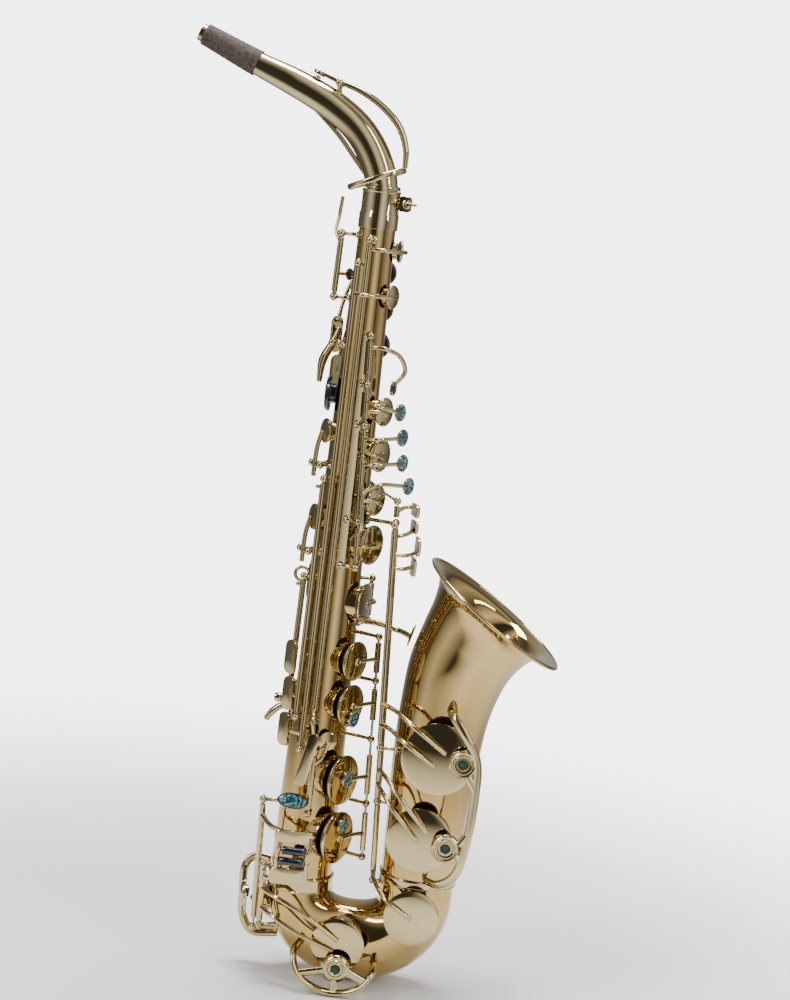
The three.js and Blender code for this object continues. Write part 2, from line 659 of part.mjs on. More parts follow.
BODY_POSTS.push(
  ...bodyFeet(LINES.high_fs, ...SPAN.high_fs, 95),
  ...bodyFeet(LINES.high_e, ...SPAN.high_e, 108),
  ...bodyFeet(LINES.side_c, ...SPAN.side_c, 124),
  ...bodyFeet(LINES.side_bb, ...SPAN.side_bb, 152),
  ...bodyFeet(LINES.trill, ...SPAN.trill, 86),
  ...bodyFeet(LINES.gs, ...SPAN.gs, -46),
  ...bodyFeet(LINES.octave, ...SPAN.octave, 172),
  ...sideHingePosts(SIDE_HINGES.side_c),
  ...sideHingePosts(SIDE_HINGES.side_bb),
  ...[461.4, 437, 411, 386.6].map((z) => post(onBody(-98, z), LINES.palm.at(z))),
  ...[-1, 1].map((side) => post(V(-13, side * 5, 396), V(THUMB_PIVOT.x, side * 8.4, THUMB_PIVOT.z))),
  post(onBody(157, 63.4), LINES.pinky_eb.at(63.4)),
  post(onBody(141, 17.4), LINES.pinky_c.at(17.4)),
  post(onBody(-32, 301), LINES.cs.at(290.4)),
  bar(onBody(OCTAVE_PAD.phi, OCTAVE_PAD.z), OCTAVE_SEAT, 2, 2, 8),
);

const BOW_POSTS = [
  post(V(-13, -8, -31.4), LINES.pinky_eb.at(-27.4 - 4)),
  post(V(-12, -13, -27.4), LINES.pinky_c.at(-27.4)),
  post(V(59.2, -3, 12.1), LINES.cs.at(12.1)),
];

const BELL_POSTS = [
  post(V(60, -14, 113.6), LINES.bb.at(113.6)),
  post(V(58.8, -9, 72.6), LINES.b.at(72.6)),
];

// --- Keys -----------------------------------------------------------------------------------

function neckOctaveKey() {
  const lift = neckLift(PIP_PLACE);
  const face = PIP.clone().addScaledVector(lift, 12.4 + GAP);
  const pad = bar(face, face.clone().addScaledVector(lift, 3), 4.6, 3.6, 14);
  const hinge = bar(V(PIVOT.x, -4.2, PIVOT.z), V(PIVOT.x, 4.2, PIVOT.z), TUBE, TUBE, 12);
  const crook = [[-22, 573.5], [-6, 564.5], [7, 552], [13.2, 537.5], [14.1, 524]].map(([x, z]) => V(x, 0, z));
  const start = [face.clone().addScaledVector(lift, 2.4), PIVOT.clone().add(V(0, 0, 1))];
  const lever = wire([...start, ...crook], 1.7, 22);
  const ring = new THREE.TorusGeometry(1, 0.078, 5, 16).scale(20.5, 15.6, 20.5).rotateY(-23 * Math.PI / 180);
  return join(pad, hinge, lever, solidOf(ring.translate(-4.5, 0, 514.8)));
}

function thumbLever() {
  const half = V(0, 5, 0);
  const hinge = bar(THUMB_PIVOT.clone().sub(half), THUMB_PIVOT.clone().add(half), TUBE, TUBE, 12);
  const claw = wire([V(-18.5, 0, 408), V(-21.5, 0, 398), V(-28, 0, 384), V(-29.5, 0, 367)], 2.6, 10, 8);
  return join(hinge, claw);
}

function octaveLink() {
  const [low, high] = SPAN.octave;
  const top = bodyRadius(OCTAVE_PAD.z) + 2.5 + GAP;
  const face = polar(OCTAVE_PAD.phi, top, OCTAVE_PAD.z);
  const axis = outward(OCTAVE_PAD.phi);
  const pad = bar(face, face.clone().addScaledVector(axis, 3), 4.4, 3.4, 12);
  const backOfPad = face.clone().addScaledVector(axis, 2.5);
  const arm = wire([LINES.octave.at(OCTAVE_PAD.z), V(-25.5, 2, OCTAVE_PAD.z), backOfPad], ARM, 6);
  const pin = wire([LINES.octave.at(468), V(-28.5, -1, 475), V(-28, 2, 486), V(-27, 2, 500)], 1.4, 8);
  return join(hingeTube(LINES.octave, low, high), pad, arm, pin);
}

function palmKey(hole, span, route, spoonPhi) {
  const end = route[route.length - 1];
  const spoon = plate(end, outward(spoonPhi), V(0, 0, 1), 11, 27, 2.6, 5.4);
  const arm = wire([LINES.palm.at(hole.z), ...route], ARM, 10);
  return bodyKey(hole, LINES.palm, ...span, -1, [arm, spoon]);
}

const PEARL_PHI = 12;

// The pearls of the upper stack stand on arms in front of the body, facing forwards.
function stackPearl(hinge, from, route, centre) {
  const axis = outward(PEARL_PHI);
  const back = centre.clone().addScaledVector(axis, -1.4);
  return join(wire([hinge.at(from), ...route, back], ARM, 3 * (route.length + 1)), pearlCup(centre, axis));
}

const UPPER_PEARLS = {
  c: V(30.5, -4, 353.6),
  b: V(34, -3, 336),
  a: V(36, -2.5, 318),
  g: V(42, -1, 302),
};

const upperKey = (name, pearl) => bodyKey(BODY_HOLES[name], LINES.upper, ...SPAN[name], 1, [pearl], true);

function lowerKey(name, pearlRise) {
  const hole = BODY_HOLES[name];
  const extras = [];
  if (pearlRise !== null) {
    const { face, axis } = holeFrame(hole);
    const centre = face.clone().addScaledVector(axis, CUP_HEIGHT + 2.4).add(V(0, 0, pearlRise));
    extras.push(pearlCup(centre, axis, 6.4, 4.2));
  }
  return bodyKey(hole, LINES.lower, ...SPAN[name], -1, extras, true);
}

function frontFKey() {
  const touch = plate(V(25, -9.5, 370.8), outward(15), V(0, 0, 1), 8, 11, 2.4, 3.8);
  const bend = [V(18, -22, 398), V(28, -14, 393), V(32, -10, 383), V(25.5, -9.5, 373)];
  const loop = wire([LINES.upper.at(398), ...bend], 1.7, 12);
  return join(sleeveTube(LINES.upper, ...SPAN.front_f), loop, touch)
    .subtract(bar(LINES.upper.at(376), LINES.upper.at(404), ROD_HOLE, ROD_HOLE, 8));
}

function longArmKey(hole, hinge, span, via, touch) {
  const frame = holeFrame(hole);
  const side = outward(hole.phi + 90);
  const back = frame.face.clone().addScaledVector(frame.axis, CUP_HEIGHT + 1);
  const edge = back.clone().addScaledVector(side, frame.radius * 0.95);
  const arm = wire([hinge.at(hole.z), ...via, edge, back], ARM, 14);
  const dish = cup(frame.face, frame.axis, frame.radius, CUP_HEIGHT);
  return join(hingeTube(hinge, ...span), dish, arm, ...touch);
}

const TOUCH_PHI = 137;
const TOUCH_SIZE = [12, 24.5, 2.6];
const sideTouch = (x, y, z) => plate(V(x, y, z), outward(TOUCH_PHI), V(0, 0, 1), ...TOUCH_SIZE, 3);

// The lower half of a side key: the long rod with its touch.
function sideLever(name, touchHeight, centre) {
  const hinge = LINES[name];
  const end = SPAN[name][1] - 3;
  const finger = wire([hinge.at(end), hinge.at(end).add(V(-5, 3.5, 0))], 1.4, 2);
  const arm = wire([hinge.at(touchHeight), V(...centre)], ARM, 3);
  return join(hingeTube(hinge, ...SPAN[name]), sideTouch(...centre), arm, finger);
}

// The upper half: a short rocking key with the cup above its hinge and a tail below.
function sideCup(name) {
  const hole = BODY_HOLES[name];
  const hinge = SIDE_HINGES[name];
  const frame = holeFrame(hole);
  const back = frame.face.clone().addScaledVector(frame.axis, CUP_HEIGHT + 0.6);
  const middle = along(hinge.low, hinge.high, 0.5);
  const tail = middle.clone().add(V(0, 0, -9)).addScaledVector(frame.axis, 1);
  const knee = middle.clone().addScaledVector(frame.axis, 1);
  const rise = along(middle, back, 0.5).addScaledVector(frame.axis, 1.5);
  return join(
    bar(hinge.low, hinge.high, TUBE, TUBE, 12),
    cup(frame.face, frame.axis, frame.radius, CUP_HEIGHT),
    wire([tail, knee, rise, back], 1.8, 9),
  );
}

const BACKWARDS = V(0, -1, 0);

// A large cup that faces -Y, held by two arms from a line beyond the edge of the bell.
function sideCupKey(hole, tube, routes, extras = []) {
  const face = V(hole.x, hole.top - GAP, hole.z);
  const arms = routes.map((route) => wire(route, ARM, 4 * (route.length - 1)));
  return join(tube, cup(face, BACKWARDS, hole.cup, CUP_HEIGHT), ...arms, ...extras);
}

function tableTouch(hinge, z, route, size) {
  const end = route[route.length - 1];
  return [wire([hinge.at(z), ...route], ARM, 9), plate(end, V(1, 0.25, 0), V(0, 0, 1), ...size, 2.4, 3)];
}

const lowB = () => sideCupKey(SIDE_HOLES.low_b, hingeTube(LINES.b, ...SPAN.low_b), [
  [LINES.b.at(96), V(57, -31, 95.5), V(71, -42, 84), V(91, -40, 63)],
  [LINES.b.at(86), V(54, -30, 86), V(66, -42, 76), V(85, -40, 56)],
], tableTouch(LINES.b, 243, [V(47, -7, 243), V(51, 4, 243), V(52, 17, 242)], [20, 13]));

const lowBb = () => sideCupKey(SIDE_HOLES.low_bb, hingeTube(LINES.bb, ...SPAN.low_bb), [
  [LINES.bb.at(146), V(58, -32, 145), V(75, -44, 137), V(97, -42, 122)],
  [LINES.bb.at(131), V(55, -30, 131), V(69, -43.5, 125), V(90, -42, 112)],
], tableTouch(LINES.bb, 254, [V(48, -14, 254), V(53.5, 0, 255), V(53, 17, 257)], [20, 13]));

const lowCs = () => sideCupKey(SIDE_HOLES.low_cs, hingeTube(LINES.cs, ...SPAN.low_cs), [
  [LINES.cs.at(18.5), V(54.5, -20, 17), V(67, -38, 8), V(84.8, -38.4, -2.5)],
]);

const lowC = () => sideCupKey(SIDE_HOLES.low_c, hingeTube(LINES.pinky_c, ...SPAN.low_c), [
  [LINES.pinky_c.at(0), V(-16, -32, 0), V(10, -39, -9), V(36, -37, -25)],
  [LINES.pinky_c.at(-14), V(-16, -31, -15), V(8, -38.5, -24), V(33, -37, -33)],
], pinkyTouch(LINES.pinky_c, 8, V(-5, -38, 17), [28, 12], C_ROLLER));

const EB_ROLLER = V(-3.5, -40, 36.2);
const C_ROLLER = V(-3.5, -40, 28.6);
const ROLLER_RADIUS = 3;
const ROLLER_HALF = 9;

// A pinky touch: its plate, the arm to its line and the two ears that hold its roller.
function pinkyTouch(hinge, z, centre, size, roller) {
  const ears = [-1, 1].map((side) => {
    const x = roller.x + side * (ROLLER_HALF + 2);
    const end = V(x, roller.y, roller.z);
    return join(bar(V(x, centre.y, centre.z), end, 1.5, 1.5, 8), ball(end, 1.9));
  });
  const arm = wire([hinge.at(z), along(hinge.at(z), centre, 0.5).add(V(-4, -4, 0)), centre], 2, 8);
  return [plate(centre, V(0.12, -1, 0), V(0, 0, 1), ...size, 2.6, 4), arm, ...ears];
}

function roller({ x, y, z }) {
  return bar(V(x - ROLLER_HALF, y, z), V(x + ROLLER_HALF, y, z), ROLLER_RADIUS, ROLLER_RADIUS, 14);
}

function ebKey() {
  const face = EB_HOLE.clone().add(V(-GAP, 0, 0));
  const back = face.clone().add(V(-CUP_HEIGHT - 0.8, 0, 0));
  const start = LINES.pinky_eb.at(EB_HOLE.z);
  return join(
    hingeTube(LINES.pinky_eb, ...SPAN.eb),
    cup(face, V(-1, 0, 0), EB_BORE + CUP_LIP, CUP_HEIGHT),
    wire([start, along(start, back, 0.5).add(V(-2, 0, 0)), back], ARM, 6),
    ...pinkyTouch(LINES.pinky_eb, 52, V(-5, -38, 46), [28, 9], EB_ROLLER),
  );
}

function trillKey() {
  const frame = holeFrame(BODY_HOLES.fs_trill);
  const back = frame.face.clone().addScaledVector(frame.axis, CUP_HEIGHT + 0.6);
  const touch = plate(V(-9, -35.5, 71.5), V(-0.1, -1, 0.25), V(0, 0, 1), 22, 10, 2.6, 4.9);
  return join(
    hingeTube(LINES.trill, ...SPAN.trill),
    cup(frame.face, frame.axis, frame.radius, CUP_HEIGHT),
    wire([LINES.trill.at(98), V(7.5, -32, 104.5), back], ARM, 8),
    touch,
    wire([LINES.trill.at(71.5), V(-9, -34.5, 71.5)], ARM, 3),
  );
}

function highFsKey() {
  const leaf = [plate(V(-2.6, -38, 103), V(0, -1, 0), V(0.2, 0, 1), 8.5, 40, 2.4, 4)];
  const neck = wire([LINES.high_fs.at(138), V(-1.4, -37.5, 133), V(0.5, -38, 122)], ARM, 6);
  return longArmKey(BODY_HOLES.high_fs, LINES.high_fs, SPAN.high_fs, [V(8, -24, 466)], [...leaf, neck]);
}

function highEKey() {
  const centre = [-22.8, -21.5, 119.5];
  const touch = [sideTouch(...centre), wire([LINES.high_e.at(119.5), V(...centre)], ARM, 4)];
  const via = [V(-3, -30, 434), V(8, -25, 434)];
  return longArmKey(BODY_HOLES.high_e, LINES.high_e, SPAN.high_e, via, touch);
}

function gsKey() {
  return bodyKey(BODY_HOLES.gs, LINES.gs, ...SPAN.gs, -1);
}

// --- Guards, brackets and rods --------------------------------------------------------------

const bumperBoss = (centre, normal) => {
  const axis = normal.clone().setLength(1.8);
  return bar(centre.clone().sub(axis), centre.clone().add(axis), 10.5, 9, 16);
};
const bumperHole = (centre, normal) => {
  const axis = normal.clone().setLength(6);
  return bar(centre.clone().sub(axis), centre.clone().add(axis), 4.8, 4.8, 12);
};

function guard(path, bosses, spokes, normal, steps) {
  const frame = join(
    wire(path, 2.6, steps, 6),
    ...bosses.map((b) => bumperBoss(b, normal)),
    ...spokes.map((s) => wire(s, 2, 3)),
  );
  return bosses.reduce((whole, b) => whole.subtract(bumperHole(b, normal)), frame);
}

function bellKeyGuard() {
  const bosses = [V(108, -51.5, 118), V(103, -51.5, 56.5)];
  const path = [
    V(94, -35.4, 152), V(97, -46, 150), V(106, -51.5, 140), V(117, -51.5, 122), V(119, -51.5, 95),
    V(117, -51.5, 62), V(112, -50, 38), V(101, -42, 27), V(91, -29.2, 25),
  ];
  const spokes = [
    [V(112, -51.5, 53), V(116, -50.5, 46)],
    [V(112, -51.5, 60), V(117, -51.5, 68)],
    [V(112, -51.5, 110), V(119, -51.5, 100)],
  ];
  return guard(path, bosses, spokes, BACKWARDS, 18);
}

function lowCGuard() {
  const boss = V(36, -46, -43.5);
  const path = [
    V(6, -23.2, -36), V(4, -38, -38), V(9, -46, -50), V(22, -46, -59),
    V(38, -46, -61), V(53, -46, -56), V(61, -43, -47), V(62, -24.6, -44),
  ];
  const spokes = [
    [V(28, -46, -45), V(10, -46, -50)],
    [V(44, -46, -45), V(57, -45, -51)],
    [V(36, -46, -51), V(36, -46, -60)],
  ];
  return guard(path, [boss], spokes, BACKWARDS, 18);
}

function ebGuard() {
  const boss = V(-40.5, 2, -11.5);
  const path = [
    V(-23.6, 8, 14), V(-36, 9, 14), V(-41.5, 7, 8), V(-41.5, 6, -12),
    V(-39, 6, -32), V(-32, 6, -41), V(-12.5, 6, -40),
  ];
  const spokes = [
    [V(-41, 0, -4), V(-41.5, 7, 7)],
    [V(-41, 0, -18), V(-39.5, 6, -30)],
  ];
  return guard(path, [boss], spokes, V(-1, 0, 0), 15);
}

// The bracket between the upper cups that carries the top ends of the three bell key lines.
function bellRodBracket() {
  const z = LINES.bb.high.z;
  const base = polar(8, bodyRadius(z) + GAP + 0.9, z);
  const heads = [LINES.bb, LINES.b, LINES.cs].map((hinge) => hinge.at(z));
  return join(
    plate(base, outward(8), V(0, 0, 1), 10, 7.5, 1.6, 2),
    wire([base, V(30, -6, z), heads[1]], 1.5, 6),
    bar(heads[0], heads[2], 1.5, 1.5, 8),
    ...heads.map((head) => ball(head, BALL)),
  );
}

// The strut between body tube and bell, with its shield-shaped foot on the body.
function bellBrace() {
  const foot = polar(-20, bodyRadius(199) + GAP + 1.6, 199);
  const end = V(58.4, 0, 194);
  return join(
    plate(foot, outward(-20), V(0, 0, 1), 9, 8, 1.6, 3),
    wire([foot, V(32, 13, 198), V(49, 11, 195), end], 2.2, 6, 6),
    plate(end.clone().add(V(0.6, 0, 1)), V(-0.97, 0, 0.25), V(0, 0, 1), 8, 16, 1.6, 3),
  );
}

const steelRod = (hinge, low, high) => bar(hinge.at(low), hinge.at(high), ROD, ROD, 8);

function stackRib(phi, hinge, heights) {
  const heads = heights.map((z) => hinge.at(z));
  const [low, high] = [Math.min(...heights), Math.max(...heights)];
  const whole = rib(phi, low - 3, high + 3, heads);
  return whole.subtract(bar(hinge.at(low - 6), hinge.at(high + 6), ROD_HOLE, ROD_HOLE, 8));
}

// --- Putting the instrument together ----------------------------------------------------------

addPart('body_tube', bodyTube());
addPart('bow', bow());
addPart('bell', bell());
addPart('body_bow_ring', band(0, BODY_FOOT_RADIUS, 0, 11.4));
addPart('bell_bow_ring', band(BELL_AXIS_X, BELL_FOOT_RADIUS, 15.6, 22));
addPart('bell_brace', bellBrace());
addPart('neck_receiver', neckReceiver());
addPart('strap_ring', strapRing());
addPart('thumb_hook', thumbHook());
addPart('thumb_hook_screw', thumbHookScrew());
addPart('thumb_rest', thumbRest(), NAVY);
addPart('bell_key_guard', bellKeyGuard());
addPart('low_c_guard', lowCGuard());
addPart('low_eb_guard', ebGuard());
addPart('bell_rod_bracket', bellRodBracket());
addPart('upper_stack_rib', stackRib(80, LINES.upper, [242, 275, 343, 372, 406]));
addPart('lower_stack_rib', stackRib(-32, LINES.lower, [27, 67, 115, 158, 190.5]));
addPart('upper_stack_rod', steelRod(LINES.upper, 240, 408), STEEL);
addPart('lower_stack_rod', steelRod(LINES.lower, 25, 192.5), STEEL);

const neckHinge = line(V(0, 0, 490), V(0, 0, 500));
const neck = addKey('neck_tube', neckTube(), neckHinge, 0, [-12, 12], {
  joint: { body: 'neck', friction: true },
});
neck.userData.body = 'neck';
addPart('neck_cork', neckCork(), CORK, 'neck');
const neckKeyHinge = line(V(PIVOT.x, -4, PIVOT.z), V(PIVOT.x, 4, PIVOT.z));
addKey('neck_octave_key', neckOctaveKey(), neckKeyHinge, 0, [0, 3],
  { joint: { parent: 'neck', follows: 'octave_thumb_lever', ratio: -0.75 } });
const clampHinge = line(V(19, -4, 499.5), V(19, 4, 499.5));
addKey('clamp_screw', clampScrew(), clampHinge, 0, [-90, 90], { joint: { friction: true } });

const thumbHinge = line(V(THUMB_PIVOT.x, -4, THUMB_PIVOT.z), V(THUMB_PIVOT.x, 4, THUMB_PIVOT.z));
addKey('octave_thumb_lever', thumbLever(), thumbHinge, 0, [-4, 0]);
addKey('octave_link', octaveLink(), LINES.octave, 0, [0, 8], {
  joint: { follows: 'octave_thumb_lever', ratio: -2 },
});

// Palm keys open when pressed; the spoon is behind the line and the cup in front of it.
const PALM_KEYS = {
  high_f: { route: [V(-12, 25, 447), V(-20, 22.5, 425), V(-22, 19.2, 402)], phi: -140, turn: 8 },
  high_eb: { route: [V(-11, 27, 418), V(-17, 27.5, 396), V(-19.5, 24.5, 374)], phi: -130, turn: 9 },
  high_d: { route: [V(-8, 30, 393), V(-11, 32, 375), V(-11, 30.5, 352)], phi: -110, turn: 9 },
};
for (const [name, { route, phi, turn }] of Object.entries(PALM_KEYS)) {
  addKey(`${name}_key`, palmKey(BODY_HOLES[name], SPAN[name], route, phi), LINES.palm, 0, [0, turn]);
}

addKey('front_f_key', frontFKey(), LINES.upper, 0, [0, 6]);
const UPPER_ARMS = {
  c: { from: 360, route: [V(19, -26, 358), V(28, -14, 355)] },
  b: { from: 334, route: [V(20, -26, 335), V(31, -14, 336)] },
  a: { from: 316, route: [V(20, -27, 317), V(32, -15, 318)] },
  g: { from: 266, route: [V(17, -30, 272), V(16, -30.5, 296), V(24, -27, 303), V(37, -12, 303)] },
};
const UPPER_REST = -8;
for (const [name, { from, route }] of Object.entries(UPPER_ARMS)) {
  const pearl = stackPearl(LINES.upper, from, route, UPPER_PEARLS[name]);
  addKey(`${name}_key`, upperKey(name, pearl), LINES.upper, UPPER_REST, [0, -UPPER_REST]);
}

addKey('gs_key', gsKey(), LINES.gs, 0, [0, 9], { joint: { follows: 'gs_touch', ratio: 1.5 } });
const LOWER_REST = 8;
const PEARL_RISES = { fs: null, f: -8.5, e: 2, d: 10 };
for (const [name, rise] of Object.entries(PEARL_RISES)) {
  addKey(`${name}_key`, lowerKey(name, rise), LINES.lower, LOWER_REST, [-LOWER_REST, 0]);
}

addKey('high_fs_key', highFsKey(), LINES.high_fs, 0, [-6, 0]);
addKey('high_e_key', highEKey(), LINES.high_e, 0, [-6, 0]);
addKey('side_c_lever', sideLever('side_c', 145.5, [-22.8, -21, 145.5]), LINES.side_c, 0, [-6, 0]);
addKey('side_c_key', sideCup('side_c'), SIDE_HINGES.side_c, 0, [-9, 0], {
  joint: { follows: 'side_c_lever', ratio: 1.5 },
});
addKey('side_bb_lever', sideLever('side_bb', 172, [-24, -20.8, 172]), LINES.side_bb, 0, [0, 6]);
addKey('side_bb_key', sideCup('side_bb'), SIDE_HINGES.side_bb, 0, [-9, 0], {
  joint: { follows: 'side_bb_lever', ratio: -1.5 },
});
addKey('fs_trill_key', trillKey(), LINES.trill, 0, [-7, 0]);

addKey('eb_key', ebKey(), LINES.pinky_eb, 0, [0, 6]);
const rollerLine = (centre) => line(centre.clone().add(V(-1, 0, 0)), centre);
addKey('eb_roller', roller(EB_ROLLER), rollerLine(EB_ROLLER), 0, null, {
  finish: NAVY,
  joint: { parent: 'eb_key', free: true },
});
const LOW_C_REST = -3;
addKey('low_c_key', lowC(), LINES.pinky_c, LOW_C_REST, [0, -LOW_C_REST]);
addKey('c_roller', roller(C_ROLLER), rollerLine(C_ROLLER), 0, null, {
  finish: NAVY,
  carrier: restTurn(LINES.pinky_c, LOW_C_REST),
  joint: { parent: 'low_c_key', free: true },
});
addKey('low_cs_key', lowCs(), LINES.cs, 0, [-4, 0], { joint: { follows: 'cs_touch', ratio: -0.8 } });

// The two smaller touches of the left hand's table, on the C sharp line.
const TABLE_TOUCHES = {
  cs_touch: { z: 265, route: [V(44, 0, 266), V(49, 6, 268), V(51, 17, 271)], size: [20, 9], turn: 5 },
  gs_touch: { z: 283, route: [V(45, -1, 287), V(51, 5, 285), V(50.5, 16, 283)], size: [22, 9], turn: 6 },
};
for (const [name, { z, route, size, turn }] of Object.entries(TABLE_TOUCHES)) {
  const whole = join(hingeTube(LINES.cs, ...SPAN[name]), ...tableTouch(LINES.cs, z, route, size));
  addKey(name, whole, LINES.cs, 0, [0, turn]);
}
const BELL_REST = -4;
addKey('low_b_key', lowB(), LINES.b, BELL_REST, [0, -BELL_REST]);
addKey('low_bb_key', lowBb(), LINES.bb, BELL_REST, [0, -BELL_REST]);

export default saxophone;
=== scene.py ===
"""The looks of an alto saxophone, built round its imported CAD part.

Lengths are millimetres on the body tube's own axis (X towards the bell, -Y towards the viewer, Z up)
until place() turns them into the row frame, whose origin is the strap ring and whose unit is the metre.
"""

import math

import bpy
import numpy as np
from mathutils import Matrix, Vector


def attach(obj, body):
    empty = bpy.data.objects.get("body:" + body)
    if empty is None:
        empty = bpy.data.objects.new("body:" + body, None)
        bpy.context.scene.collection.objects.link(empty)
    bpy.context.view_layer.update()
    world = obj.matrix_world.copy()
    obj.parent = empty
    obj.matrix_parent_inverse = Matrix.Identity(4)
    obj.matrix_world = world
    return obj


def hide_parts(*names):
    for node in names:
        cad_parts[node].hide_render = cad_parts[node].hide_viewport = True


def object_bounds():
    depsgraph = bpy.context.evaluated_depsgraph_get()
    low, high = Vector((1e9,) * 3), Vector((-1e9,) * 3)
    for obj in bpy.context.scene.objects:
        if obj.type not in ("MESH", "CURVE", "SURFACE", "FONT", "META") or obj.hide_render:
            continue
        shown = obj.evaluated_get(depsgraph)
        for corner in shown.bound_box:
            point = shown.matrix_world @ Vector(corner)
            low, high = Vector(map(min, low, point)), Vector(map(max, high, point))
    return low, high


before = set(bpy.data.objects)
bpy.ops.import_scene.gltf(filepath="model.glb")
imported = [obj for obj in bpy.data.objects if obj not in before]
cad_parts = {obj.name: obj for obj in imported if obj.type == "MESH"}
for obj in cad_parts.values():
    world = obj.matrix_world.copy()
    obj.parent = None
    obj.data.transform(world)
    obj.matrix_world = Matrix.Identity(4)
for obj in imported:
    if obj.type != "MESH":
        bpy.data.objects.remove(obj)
CAD_LOW, CAD_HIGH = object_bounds()

STRAP_RING = np.array((-24.5, 0.0, 229.0))
BODY_FOOT, BODY_TOP = 0.35, 480.0
FOOT_RADIUS, TOP_RADIUS = 22.7, 12.9
WALL = 1.2
GAP = 0.35
SKIRT = 0.8
BELL_X = 84.9
BELL_FOOT_RADIUS = 26.8
BOW_CENTRE_X = 42.0
BOW_DEPTH, SADDLE_DEPTH = 63.6, 5.7
BOW_BELL_LEVEL = 20.0
TUBE = 2.25
ARM = 1.5
BALL = 2.85
PIVOT_GAP = 3.4
CUP_LIP = 3.0
CUP_HEIGHT = 4.0
UP = np.array((0.0, 0.0, 1.0))
VIEWER = np.array((0.0, -1.0, 0.0))


def vec(x, y, z):
    return np.array((x, y, z), float)


def unit(v):
    return v / np.linalg.norm(v)


def mix(a, b, t):
    return a + (b - a) * t


def body_radius(z):
    return mix(FOOT_RADIUS, TOP_RADIUS, z / BODY_TOP)


def outward(phi):
    """The level direction phi degrees from +X towards -Y."""
    return vec(math.cos(math.radians(phi)), -math.sin(math.radians(phi)), 0)


def polar(phi, radius, z):
    return outward(phi) * radius + UP * z


# --- Shapes: (corners, faces) ---------------------------------------------------------------


def merged(*shapes):
    corners, faces, start = [], [], 0
    for points, polygons in shapes:
        corners.append(points)
        faces += [tuple(i + start for i in polygon) for polygon in polygons]
        start += len(points)
    return np.vstack(corners), faces


def loft(rings, closed=False, capped=True):
    """Skin over rings of equal count. closed joins the last ring to the first."""
    sides = len(rings[0])
    faces = []
    for i in range(len(rings) if closed else len(rings) - 1):
        a, b = i * sides, (i + 1) % len(rings) * sides
        faces += [(a + j, a + (j + 1) % sides, b + (j + 1) % sides, b + j) for j in range(sides)]
    if capped and not closed:
        faces.append(tuple(reversed(range(sides))))
        faces.append(tuple((len(rings) - 1) * sides + j for j in range(sides)))
    return np.vstack(rings), faces


def around(count):
    """Evenly spaced angles for one whole turn."""
    return np.arange(count) * 2 * math.pi / count


def circle(count, side, other):
    """Spokes of a circle or an ellipse, whose half widths are the lengths of side and other."""
    turn = around(count)
    return np.outer(np.cos(turn), side) + np.outer(np.sin(turn), other)


def hoop(middle, long_way, short_way, thickness, rise, count, sides):
    """A closed bar round an ellipse; rise is its half height as a direction."""
    rings = []
    for angle in around(count):
        out = long_way * math.cos(angle) + short_way * math.sin(angle)
        rings.append(middle + out + circle(sides, unit(out) * thickness, rise))
    return loft(rings, closed=True)


def square_to(axis):
    """Two unit directions square to an axis and to each other."""
    axis = unit(axis)
    helper = UP if abs(axis[2]) < 0.9 else vec(1, 0, 0)
    side = unit(np.cross(helper, axis))
    return side, np.cross(axis, side)


def turned(profile, base, axis, sides=40, closed=False):
    """A profile of (radius, height) turned about an axis through base; a closed one makes a ring."""
    side, other = square_to(axis)
    axis = unit(axis)
    spokes = circle(sides, side, other)
    return loft([base + axis * height + spokes * max(radius, 0.01) for radius, height in profile],
                closed=closed)


def smooth_line(points, per=8):
    """A centripetal Catmull-Rom line through the points, the same as the CAD's."""
    p = [np.asarray(q, float) for q in points]
    p = [2 * p[0] - p[1], *p, 2 * p[-1] - p[-2]]
    line = []
    for i in range(1, len(p) - 2):
        steps = [max(np.linalg.norm(p[k + 1] - p[k]), 1e-6) ** 0.5 for k in range(i - 1, i + 2)]
        slope = []
        for k, (before, after) in ((i, steps[0:2]), (i + 1, steps[1:3])):
            slope.append(((p[k] - p[k - 1]) / before - (p[k + 1] - p[k - 1]) / (before + after)
                          + (p[k + 1] - p[k]) / after) * steps[1])
        for step in range(per):
            t = step / per
            line.append(p[i] + slope[0] * t + (3 * (p[i + 1] - p[i]) - 2 * slope[0] - slope[1]) * t**2
                        + (2 * (p[i] - p[i + 1]) + slope[0] + slope[1]) * t**3)
    line.append(p[-2])
    return np.array(line)


def tube(points, radius=ARM, sides=12, per=8, flat=1.0, across=None):
    """A bar along a smooth line. radius may be one size, or one for each point; flat squeezes it."""
    line = smooth_line(points, per) if len(points) > 2 else np.array([points[0], points[-1]], float)
    place = np.linspace(0, 1, len(line))
    sizes = np.interp(place, np.linspace(0, 1, len(np.atleast_1d(radius))), np.atleast_1d(radius))
    headings = [unit(h) for h in np.gradient(line, axis=0)]
    side = square_to(headings[0])[0] if across is None else unit(across)
    rings = []
    for i, (centre, heading) in enumerate(zip(line, headings)):
        side = unit(side - heading * (side @ heading))
        spokes = circle(sides, side, np.cross(heading, side) * flat)
        if i == 0:
            rings.append(centre + spokes * sizes[0] * 0.7)
            rings.append(centre + heading * sizes[0] * 0.3 + spokes * sizes[0])
        elif i == len(line) - 1:
            rings.append(centre - heading * sizes[-1] * 0.3 + spokes * sizes[-1])
            rings.append(centre + spokes * sizes[-1] * 0.7)
        else:
            rings.append(centre + spokes * sizes[i])
    return loft(rings)


def ball(centre, radius, sides=16):
    turn = np.linspace(-math.pi / 2, math.pi / 2, sides // 2 + 1)
    return turned([(radius * math.cos(a), radius * math.sin(a)) for a in turn], centre, UP, sides)


